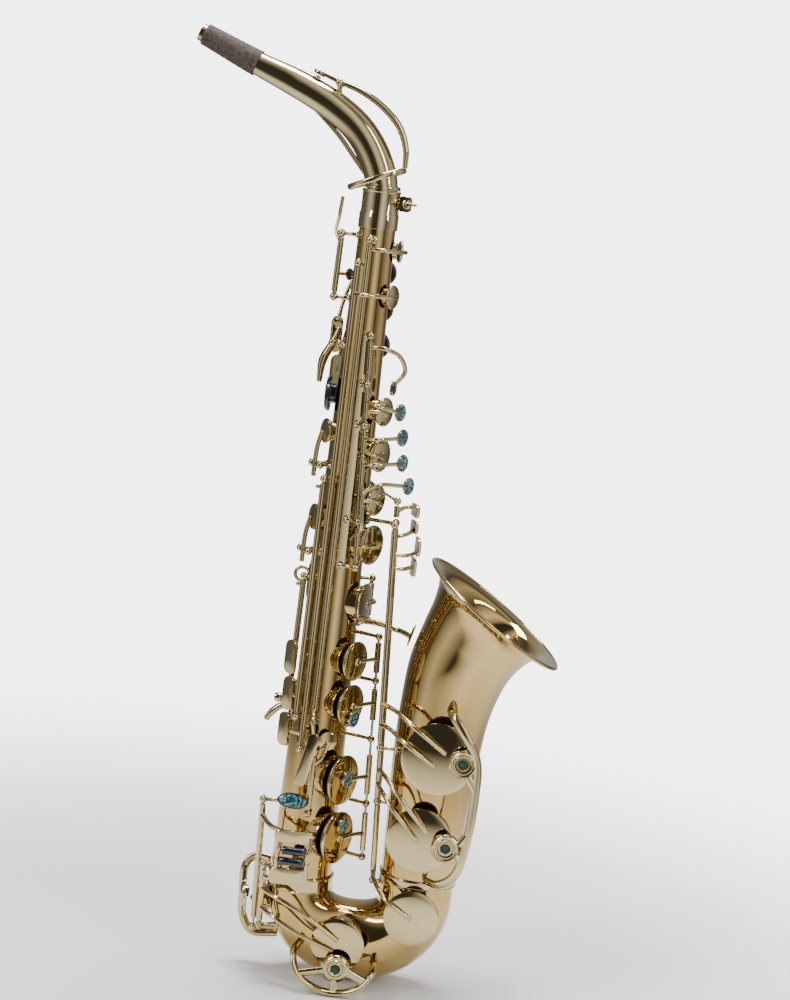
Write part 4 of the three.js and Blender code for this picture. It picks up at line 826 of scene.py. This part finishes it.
def pivots():
    """The steel point screws that hold each long key between its posts."""
    ends = [(name, name) for name in ("high_fs", "high_e", "side_c", "side_bb", "trill", "gs", "octave",
                                      "eb", "low_c")]
    ends += [("low_b", "b"), ("low_bb", "bb"), ("high_f", "palm"), ("high_eb", "palm"), ("high_d", "palm")]
    screws = []
    for name, line_name in ends:
        hinge = LINES[line_name]
        low, high = SPAN[name]
        screws.append(rod(hinge.at(low - PIVOT_GAP - BALL - 0.35), hinge.at(low - 0.1), 1.15))
        screws.append(rod(hinge.at(high + 0.1), hinge.at(high + PIVOT_GAP + BALL + 0.35), 1.15))
    place("pivot_screws", "instrument", STEEL, *screws)


def guard(name, path, bosses, spokes, normal):
    """A bent wire guard with felt bumpers held in screwed bosses."""
    frame_bar = tube(path, 2.1, 20, 10, 1.55, normal)
    ring = [(5.6, -1.8), (10.2, -1.7), (10.5, -1.2), (10.3, -0.2), (9.4, 1.1), (8.6, 1.6), (7.6, 1.1),
            (6.9, 1.2),
            (6.4, 1.9), (5.7, 1.8)]
    sleeve = [(3.3, -3.0), (5.4, -3.0), (5.5, 1.2), (5.0, 1.7), (3.9, 1.7), (3.4, 1.2)]
    rings = [turned(profile, centre, normal, 48, closed=True) for centre in bosses for profile in (ring,
                                                                                                   sleeve)]
    arms = [tube(points, 1.8, 14, 10, 1.6, normal) for points in spokes]
    place(name + ".frame", "instrument", KEYS, frame_bar, *rings, *arms, replaces=[name])
    felts = [turned([(3.35, -4.0), (3.35, 0.2), (2.8, 0.7), (0, 0.8)], centre, normal,
                    32) for centre in bosses]
    place(name + ".felt", "instrument", FELT, *felts)


def guards():
    back = VIEWER
    guard("bell_key_guard", [
        (94, -35.4, 152), (97, -46, 150), (106, -51.5, 140), (117, -51.5, 122), (119, -51.5, 95),
        (117, -51.5, 62), (112, -50, 38), (101, -42, 27), (91, -29.2, 25)],
        [vec(108, -51.5, 118), vec(103, -51.5, 56.5)],
        [[(112, -51.5, 53), (116, -50.5, 46)], [(112, -51.5, 60), (117, -51.5, 68)],
         [(112, -51.5, 110), (119, -51.5, 100)]], back)
    guard("low_c_guard", [
        (6, -23.2, -36), (4, -38, -38), (9, -46, -50), (22, -46, -59), (38, -46, -61), (53, -46, -56),
        (61, -43, -47), (62, -24.6, -44)], [vec(36, -46, -43.5)],
        [[(28, -46, -45), (10, -46, -50)], [(44, -46, -45), (57, -45, -51)],
         [(36, -46, -51), (36, -46, -60)]], back)
    guard("low_eb_guard", [
        (-23.6, 8, 14), (-36, 9, 14), (-41.5, 7, 8), (-41.5, 6, -12), (-39, 6, -32), (-32, 6, -41),
        (-12.5, 6, -40)], [vec(-40.5, 2, -11.5)],
        [[(-41, 0, -4), (-41.5, 7, 7)], [(-41, 0, -18), (-39.5, 6, -30)]], vec(-1, 0, 0))


# --- Keys -----------------------------------------------------------------------------------


def key(name, hinge, rest, brass, extras=()):
    """One moving key: its brass, then its pads, pearls and felts, all turned to where they rest."""
    turn = rest_turn(hinge, rest)
    place(name + ".brass", name, KEYS, *brass, replaces=[name], turn=turn)
    for label, material, shapes in extras:
        place(f"{name}.{label}", name, material, *shapes, turn=turn)


def arm(points, radius=ARM):
    return tube(points, [radius * 1.25, radius, radius, radius * 0.9], 14, 10)


def cup_arm(start, face, axis, radius, side):
    back = face + axis * (CUP_HEIGHT + 1) + UP * 0.4
    spine = arm([start, back + side * radius * 0.93, back])
    boss = turned([(2.9, 3.6), (2.9, 4.4), (2.2, 5.2), (0, 5.5)], face, axis, 24)
    return merged(spine, boss)


def body_key(name, cup_name, line_name, side_sign, rest, shapes=(), extras=()):
    hinge = LINES[line_name]
    low, high = SPAN[cup_name]
    z, phi = BODY_HOLES[cup_name][:2]
    _, face, axis, radius = hole_frame(cup_name)
    start = hinge.at(min(max(z, low + 2), high - 2))
    brass = [span_tube(hinge, cup_name), cup_brass(face, axis, radius),
             cup_arm(start, face, axis, radius, outward(phi + 90 * side_sign)), *shapes]
    key(name, hinge, rest, brass, [pad_for(face, axis, radius), *extras])


def upper_stack():
    axis, facing = outward(12), outward(24)
    upper = LINES["upper"]
    routes = {
        "c": (360, [(19, -26, 358), (28, -14, 355)], (30.5, -4, 353.6)),
        "b": (334, [(20, -26, 335), (31, -14, 336)], (34, -3, 336)),
        "a": (316, [(20, -27, 317), (32, -15, 318)], (36, -2.5, 318)),
        "g": (266, [(17, -30, 272), (16, -30.5, 296), (24, -27, 303), (37, -12, 303)], (42, -1, 302)),
    }
    for name, (start, route, centre) in routes.items():
        centre = vec(*centre)
        reach = tube([upper.at(start), *route, centre - axis * 1.4], ARM, 14, 10)
        body_key(name + "_key", name, "upper", 1, UPPER_REST, [reach, pearl_cup(centre, facing, 6.3, 2.6)],
                 [("pearl", PEARL, [pearl(centre, facing, 5.5)])])
    loop = tube([upper.at(398), (18, -22, 398), (28, -14, 393), (32, -10, 383), (25.5, -9.5, 373)],
                1.65, 14, 10)
    touch = slab(vec(25, -9.5, 370.8), outward(15), UP, 8, 11, 2.4, 3.9, 0.3)
    key("front_f_key", upper, 0, [span_tube(upper, "front_f"), loop, touch],
        [("felt", FELT, [slab(vec(25, -9.5, 370.8) + outward(15) * 1.5, outward(15), UP, 5.4, 8, 1, 2.6,
                              0.3)])])


def lower_stack():
    for name, rise in (("fs", None), ("f", -8.5), ("e", 2), ("d", 10)):
        shapes, extras = [], []
        if rise is not None:
            _, face, axis, _ = hole_frame(name)
            centre = face + axis * (CUP_HEIGHT + 2.4) + UP * rise
            shapes = [pearl_cup(centre, axis, 6.4, 3.0)]
            extras = [("pearl", PEARL, [pearl(centre, axis, 5.6)])]
        body_key(name + "_key", name, "lower", -1, LOWER_REST, shapes, extras)


def palm_keys():
    palm = LINES["palm"]
    for name, route, spoon_phi in (("high_f", [(-12, 25, 447), (-20, 22.5, 425), (-22, 19.2, 402)], -140),
                                   ("high_eb", [(-11, 27, 418), (-17, 27.5, 396), (-19.5, 24.5, 374)], -130),
                                   ("high_d", [(-8, 30, 393), (-11, 32, 375), (-11, 30.5, 352)], -110)):
        points = [vec(*p) for p in route]
        spoon = slab(points[-1], outward(spoon_phi), UP, 10.6, 26.5, 2.2, 5.2, 0.3, 0.0)
        reach = tube([palm.at(BODY_HOLES[name][0]), *points], ARM, 14, 10)
        body_key(name + "_key", name, "palm", -1, 0, [reach, spoon])


def long_key(name, cup_name, line_name, via, shapes):
    hinge = LINES[line_name]
    z, phi = BODY_HOLES[cup_name][:2]
    _, face, axis, radius = hole_frame(cup_name)
    back = face + axis * (CUP_HEIGHT + 1)
    edge = back + outward(phi + 90) * radius * 0.95
    reach = tube([hinge.at(z), *via, edge, back], ARM, 14, 10)
    key(name, hinge, 0, [span_tube(hinge, cup_name), cup_brass(face, axis, radius), reach, *shapes],
        [pad_for(face, axis, radius)])


def side_touch(x, y, z):
    return slab(vec(x, y, z), outward(137), UP, 12, 24.5, 2.6, 4.5, 0.4, 0.8)


def side_keys():
    high_fs, high_e = LINES["high_fs"], LINES["high_e"]
    leaf = slab(vec(-2.6, -38, 103), VIEWER, vec(0.2, 0, 1), 8.5, 40, 2.4, 4.1, 0.4)
    long_key("high_fs_key", "high_fs", "high_fs", [vec(8, -24, 466)],
             [leaf, arm([high_fs.at(138), (-1.4, -37.5, 133), (0.5, -38, 122)])])
    long_key("high_e_key", "high_e", "high_e", [vec(-3, -30, 434), vec(8, -25, 434)],
             [side_touch(-22.8, -21.5, 119.5), arm([high_e.at(119.5), (-22.8, -21.5, 119.5)])])
    for name, touch_at, centre in (("side_c", 145.5, (-22.8, -21, 145.5)),
                                   ("side_bb", 172, (-24, -20.8, 172))):
        hinge = LINES[name]
        tip = hinge.at(SPAN[name][1] - 3)
        key(name + "_lever", hinge, 0, [span_tube(hinge, name), side_touch(*centre),
                                        arm([hinge.at(touch_at), vec(*centre)]),
                                        tube([tip, tip + vec(-5, 3.5, 0)], 1.4)])
        _, face, axis, radius = hole_frame(name)
        rocker = SIDE_HINGES[name]
        middle = (rocker.low + rocker.high) / 2
        back = face + axis * (CUP_HEIGHT + 0.6)
        spine = tube([middle - UP * 9 + axis, middle + axis, (middle + back) / 2 + axis * 1.5, back], 1.8,
                     14, 8)
        key(name + "_key", rocker, 0, [rod(rocker.low, rocker.high, TUBE), cup_brass(face, axis, radius),
                                       spine],
            [pad_for(face, axis, radius)])


def trill_key():
    trill = LINES["trill"]
    _, face, axis, radius = hole_frame("fs_trill")
    centre, facing = vec(-9, -35.5, 71.5), unit(vec(-0.1, -1, 0.25))
    key("fs_trill_key", trill, 0, [
        span_tube(trill, "trill"), cup_brass(face, axis, radius),
        tube([trill.at(98), (7.5, -32, 104.5), face + axis * 4.6], ARM, 14, 10),
        slab(centre, facing, UP, 23, 11.5, 2.4, 0, 0.1), tube([trill.at(71.5), (-9, -34.5, 71.5)], ARM, 14)],
        [pad_for(face, axis, radius),
         ("pearl", PEARL, [slab(centre + facing * 1.3, facing, UP, 20.5, 9.4, 1.2, 0, 0.5)])])


def side_cup_key(name, hole_name, hinge, rest, tubes, routes, extras=()):
    x, z, _, top, radius = SIDE_HOLES[hole_name]
    face = vec(x, top - GAP, z)
    arms = [tube(route, [2.0, 1.7, 1.6, 1.4], 16, 10, flat=1.0)
            for route in routes]
    pads = [pad_for(face, VIEWER, radius)]
    key(name, hinge, rest, [*tubes, cup_brass(face, VIEWER, radius), *arms, *extras], pads)


def table_touch(hinge, z, route, size):
    end = vec(*route[-1])
    return [tube([hinge.at(z), *route], ARM, 14, 10),
            slab(end, vec(1, 0.25, 0), UP, *size, 2.4, 3.4, 0.4, 0.6)]


def bell_keys():
    b, bb, cs = LINES["b"], LINES["bb"], LINES["cs"]
    side_cup_key("low_b_key", "low_b", b, BELL_REST, [span_tube(b, "low_b")], [
        [b.at(96), (57, -31, 95.5), (71, -42, 84), (91, -40, 63)],
        [b.at(86), (54, -30, 86), (66, -42, 76), (85, -40, 56)]],
        table_touch(b, 243, [(47, -7, 243), (51, 4, 243), (52, 17, 242)], (20, 13)))
    side_cup_key("low_bb_key", "low_bb", bb, BELL_REST, [span_tube(bb, "low_bb")], [
        [bb.at(146), (58, -32, 145), (75, -44, 137), (97, -42, 122)],
        [bb.at(131), (55, -30, 131), (69, -43.5, 125), (90, -42, 112)]],
        table_touch(bb, 254, [(48, -14, 254), (53.5, 0, 255), (53, 17, 257)], (20, 13)))
    side_cup_key("low_cs_key", "low_cs", cs, 0, [span_tube(cs, "low_cs")], [
        [cs.at(18.5), (54.5, -20, 17), (67, -38, 8), (84.8, -38.4, -2.5)]])
    key("cs_touch", cs, 0, [span_tube(cs, "cs_touch"),
                            *table_touch(cs, 265, [(44, 0, 266), (49, 6, 268), (51, 17, 271)], (20, 9))])
    key("gs_touch", cs, 0, [span_tube(cs, "gs_touch"),
                            *table_touch(cs, 283, [(45, -1, 287), (51, 5, 285), (50.5, 16, 283)], (22, 9))])
    body_key("gs_key", "gs", "gs", -1, 0)


EB_ROLLER, C_ROLLER = vec(-3.5, -40, 36.2), vec(-3.5, -40, 28.6)
ROLLER_HALF = 9


def pinky_touch(hinge, z, centre, size, roller):
    shapes = [slab(centre, vec(0.12, -1, 0), UP, *size, 2.5, 4.2, 0.4),
              tube([hinge.at(z), (hinge.at(z) + centre) / 2 + vec(-4, -4, 0), centre], 2, 16, 10)]
    for side in (-1, 1):
        x = roller[0] + side * (ROLLER_HALF + 2)
        shapes += [rod(vec(x, centre[1], centre[2]), vec(x, roller[1], roller[2]), 1.5),
                   ball(vec(x, *roller[1:]), 1.9)]
    return shapes


def pinky_roller(name, centre, turn=None):
    profile = [(1.2, -9), (2.6, -8.9), (3.0, -8.3), (2.95, -4), (2.8, 0), (2.95, 4), (3.0, 8.3), (2.6, 8.9),
               (1.2, 9)]
    place(name + ".roller", name, NAVY, turned(profile, centre, vec(1, 0, 0), 36), replaces=[name], turn=turn)


def foot_keys():
    low_c, eb = LINES["low_c"], LINES["eb"]
    side_cup_key("low_c_key", "low_c", low_c, LOW_REST, [span_tube(low_c, "low_c")], [
        [low_c.at(0), (-16, -32, 0), (10, -39, -9), (36, -37, -25)],
        [low_c.at(-14), (-16, -31, -15), (8, -38.5, -24), (33, -37, -33)]],
        pinky_touch(low_c, 8, vec(-5, -38, 17), (28, 12), C_ROLLER))
    face = EB_HOLE + vec(-GAP, 0, 0)
    back = face + vec(-CUP_HEIGHT - 0.8, 0, 0)
    start = eb.at(EB_HOLE[2])
    left = vec(-1, 0, 0)
    radius = EB_BORE + CUP_LIP
    key("eb_key", eb, 0, [
        span_tube(eb, "eb"), cup_brass(face, left, radius),
        tube([start, (start + back) / 2 + vec(-2, 0, 0), back], ARM, 14, 10),
        *pinky_touch(eb, 52, vec(-5, -38, 46), (28, 9), EB_ROLLER)], [pad_for(face, left, radius)])
    pinky_roller("eb_roller", EB_ROLLER)
    pinky_roller("c_roller", C_ROLLER, rest_turn(low_c, LOW_REST))


def octave_keys():
    lift, pip_at = neck_lift(OCTAVE_PIP), neck_at(OCTAVE_PIP)[0]
    face = pip_at + lift * (12.4 + GAP)
    level = Line(PIVOT - vec(0, 4, 0), PIVOT + vec(0, 4, 0))
    tilt = math.radians(-23)
    long_way = vec(math.cos(tilt), 0, -math.sin(tilt))
    middle = vec(-4.5, 0, 514.8)
    rise = unit(np.cross(long_way, vec(0, 1, 0))) * 2.1
    ring = hoop(middle, long_way * 20.5, vec(0, 15.6, 0), 1.2, rise, 72, 14)
    lever = tube([face + lift * 2.4, PIVOT + UP, (-22, 0, 573.5), (-6, 0, 564.5), (7, 0, 552),
                  (13.2, 0, 537.5), (14.1, 0, 524)], [1.6, 2.0, 2.4, 2.6, 2.4, 1.9], 20, 12, 1.3,
                 vec(0.5, 0, 0.9))
    pad_cup = turned([(4.2, 1.0), (4.6, 1.1), (4.6, 1.8), (3.9, 2.7), (2.2, 3.0), (0, 3.1)], face, lift, 32)
    key("neck_octave_key", level, 0, [pad_cup, rod(PIVOT - vec(0, 4.2, 0), PIVOT + vec(0, 4.2, 0), TUBE),
                                      lever, ring],
        [("pad", PAD, [turned([(4.0, 0.05), (4.3, 0.4), (4.2, 1.2)], face, lift, 28)])])
    thumb = Line(THUMB_PIVOT - vec(0, 4, 0), THUMB_PIVOT + vec(0, 4, 0))
    across = vec(0, 5, 0)
    claw = tube([(-18.5, 0, 408), (-21.5, 0, 398), (-27.6, 0, 384), (-28.6, 0, 368)], [2.0, 2.8, 3.2, 1.8],
                18, 10, 1.3, vec(1, 0, 0))
    key("octave_thumb_lever", thumb, 0, [rod(THUMB_PIVOT - across, THUMB_PIVOT + across, TUBE), claw])
    octave = LINES["octave"]
    axis = outward(OCTAVE_PAD_PHI)
    seat = polar(OCTAVE_PAD_PHI, body_radius(OCTAVE_PAD_Z) + 2.5 + GAP, OCTAVE_PAD_Z)
    dish = turned([(4.0, 1.0), (4.4, 1.1), (4.4, 1.9), (3.6, 2.8), (0, 3.0)], seat, axis, 32)
    reach = tube([octave.at(OCTAVE_PAD_Z), (-25.5, 2, OCTAVE_PAD_Z), seat + axis * 2.5], ARM, 14, 10)
    pin = tube([octave.at(468), (-28.5, -1, 475), (-28, 2, 486), (-27, 2, 500)], 1.4, 14, 10)
    key("octave_link", octave, 0, [span_tube(octave, "octave"), dish, reach, pin],
        [("pad", PAD, [turned([(3.8, 0.05), (4.1, 0.4), (4.0, 1.2)], seat, axis, 28)])])


for build in (body_tube, bow, bell, bow_rings, neck, receiver, strap_ring, thumb_parts, ribs_and_rods,
              bracket_and_brace, pivots, guards, upper_stack, lower_stack, palm_keys, side_keys, trill_key,
              bell_keys,
              foot_keys, octave_keys):
    build()


# --- Studio ---------------------------------------------------------------------------------

FLOOR_Z = CAD_LOW[2] - 0.0005
FLOOR_REACH = 1.0
BACKDROP = 5.0
PANEL_STRENGTH = 1.8
LENS = 80.3
VIEW_TARGET = Vector((0.0599, 0, 0.0617))
VIEW_DISTANCE = 1.594
VIEW_AZIMUTH, VIEW_ELEVATION, VIEW_ROLL = (math.radians(angle) for angle in (3, 7.4, 6.95))


def floor():
    """A pale round floor that thins out towards its edge, so that it has no horizon line."""
    mesh = bpy.data.meshes.new("floor")
    points = [(FLOOR_REACH * math.cos(a), FLOOR_REACH * math.sin(a), FLOOR_Z)
              for a in np.arange(64) * 2 * math.pi / 64]
    mesh.from_pydata(points, [], [tuple(range(64))])
    material, nodes, links, surface = shader("pale_floor", Roughness=0.8)
    tones = [(0.3, (0.84, 0.84, 0.84)), (0.7, (0.88, 0.88, 0.88))]
    links.new(ramp(nodes, links, noise(nodes, links, 1.5), tones), surface.inputs["Base Color"])
    where = nodes.new("ShaderNodeTexCoord")
    reach = nodes.new("ShaderNodeVectorMath")
    reach.operation = "LENGTH"
    links.new(where.outputs["Object"], reach.inputs[0])
    fade = nodes.new("ShaderNodeMapRange")
    fade.interpolation_type = "SMOOTHSTEP"
    fade.inputs["From Min"].default_value = FLOOR_REACH * 0.35
    fade.inputs["From Max"].default_value = FLOOR_REACH
    fade.inputs["To Min"].default_value = 1.0
    fade.inputs["To Max"].default_value = 0.0
    links.new(reach.outputs["Value"], fade.inputs["Value"])
    links.new(fade.outputs["Result"], surface.inputs["Alpha"])
    mesh.materials.append(material)
    sheet = bpy.data.objects.new("floor", mesh)
    bpy.context.scene.collection.objects.link(sheet)


def softbox(name, place_at, size, power, aim=(0.04, 0, 0.04)):
    light = bpy.data.lights.new(name, "AREA")
    light.shape = "RECTANGLE"
    light.size, light.size_y = size
    light.energy = power
    box = bpy.data.objects.new(name, light)
    box.location = place_at
    box.rotation_euler = (Vector(aim) - Vector(place_at)).to_track_quat("-Z", "Y").to_euler()
    bpy.context.scene.collection.objects.link(box)


# Brightness of the studio round the compass, a turn from -X by way of the viewer: broad soft panels.
PANELS = [(0.0, 0.12), (0.08, 0.55), (0.17, 0.04), (0.24, 0.03), (0.31, 0.75), (0.39, 0.06), (0.52, 0.45),
          (0.62, 0.06), (0.75, 0.30), (0.88, 0.06), (1.0, 0.12)]


def studio():
    """Broad soft panels round a dim studio. Only the camera's own rays see the pale backdrop instead."""
    world = bpy.data.worlds.new("studio")
    world.use_nodes = True
    nodes, links = world.node_tree.nodes, world.node_tree.links
    where = nodes.new("ShaderNodeTexCoord")
    parts = nodes.new("ShaderNodeSeparateXYZ")
    links.new(where.outputs["Generated"], parts.inputs["Vector"])
    compass = nodes.new("ShaderNodeMath")
    compass.operation = "ARCTAN2"
    links.new(parts.outputs["Y"], compass.inputs[0])
    links.new(parts.outputs["X"], compass.inputs[1])
    turn = nodes.new("ShaderNodeMapRange")
    turn.inputs["From Min"].default_value = -math.pi
    turn.inputs["From Max"].default_value = math.pi
    links.new(compass.outputs["Value"], turn.inputs["Value"])
    lit = nodes["Background"]
    links.new(ramp(nodes, links, turn.outputs["Result"], [(u, (v, v, v)) for u, v in PANELS]),
              lit.inputs["Color"])
    lit.inputs["Strength"].default_value = PANEL_STRENGTH
    backdrop = nodes.new("ShaderNodeBackground")
    backdrop.inputs["Color"].default_value = (1, 1, 1, 1)
    backdrop.inputs["Strength"].default_value = BACKDROP
    rays = nodes.new("ShaderNodeLightPath")
    choice = nodes.new("ShaderNodeMixShader")
    links.new(rays.outputs["Is Camera Ray"], choice.inputs["Fac"])
    links.new(lit.outputs["Background"], choice.inputs[1])
    links.new(backdrop.outputs["Background"], choice.inputs[2])
    links.new(choice.outputs["Shader"], nodes["World Output"].inputs["Surface"])
    bpy.context.scene.world = world
    softbox("left_softbox", (-1.3, -1.2, 1.3), (0.3, 1.4), 22)
    softbox("right_softbox", (1.5, -0.9, 1.1), (0.25, 1.4), 14)
    softbox("top_softbox", (0.1, 0.3, 2.2), (1.0, 1.0), 85)


def camera():
    a, e, r = VIEW_AZIMUTH, VIEW_ELEVATION, VIEW_ROLL
    back = Vector((math.sin(a) * math.cos(e), -math.cos(a) * math.cos(e), math.sin(e)))
    right = Vector((math.cos(a), math.sin(a), 0))
    up = back.cross(right)
    tilted_right = right * math.cos(r) + up * math.sin(r)
    tilted_up = up * math.cos(r) - right * math.sin(r)
    lens = bpy.data.cameras.new("view")
    lens.lens = LENS
    eye = bpy.data.objects.new("view", lens)
    eye.matrix_world = Matrix((tilted_right, tilted_up, back)).transposed().to_4x4()
    eye.location = VIEW_TARGET + back * VIEW_DISTANCE
    bpy.context.scene.collection.objects.link(eye)
    bpy.context.scene.camera = eye


floor()
studio()
camera()
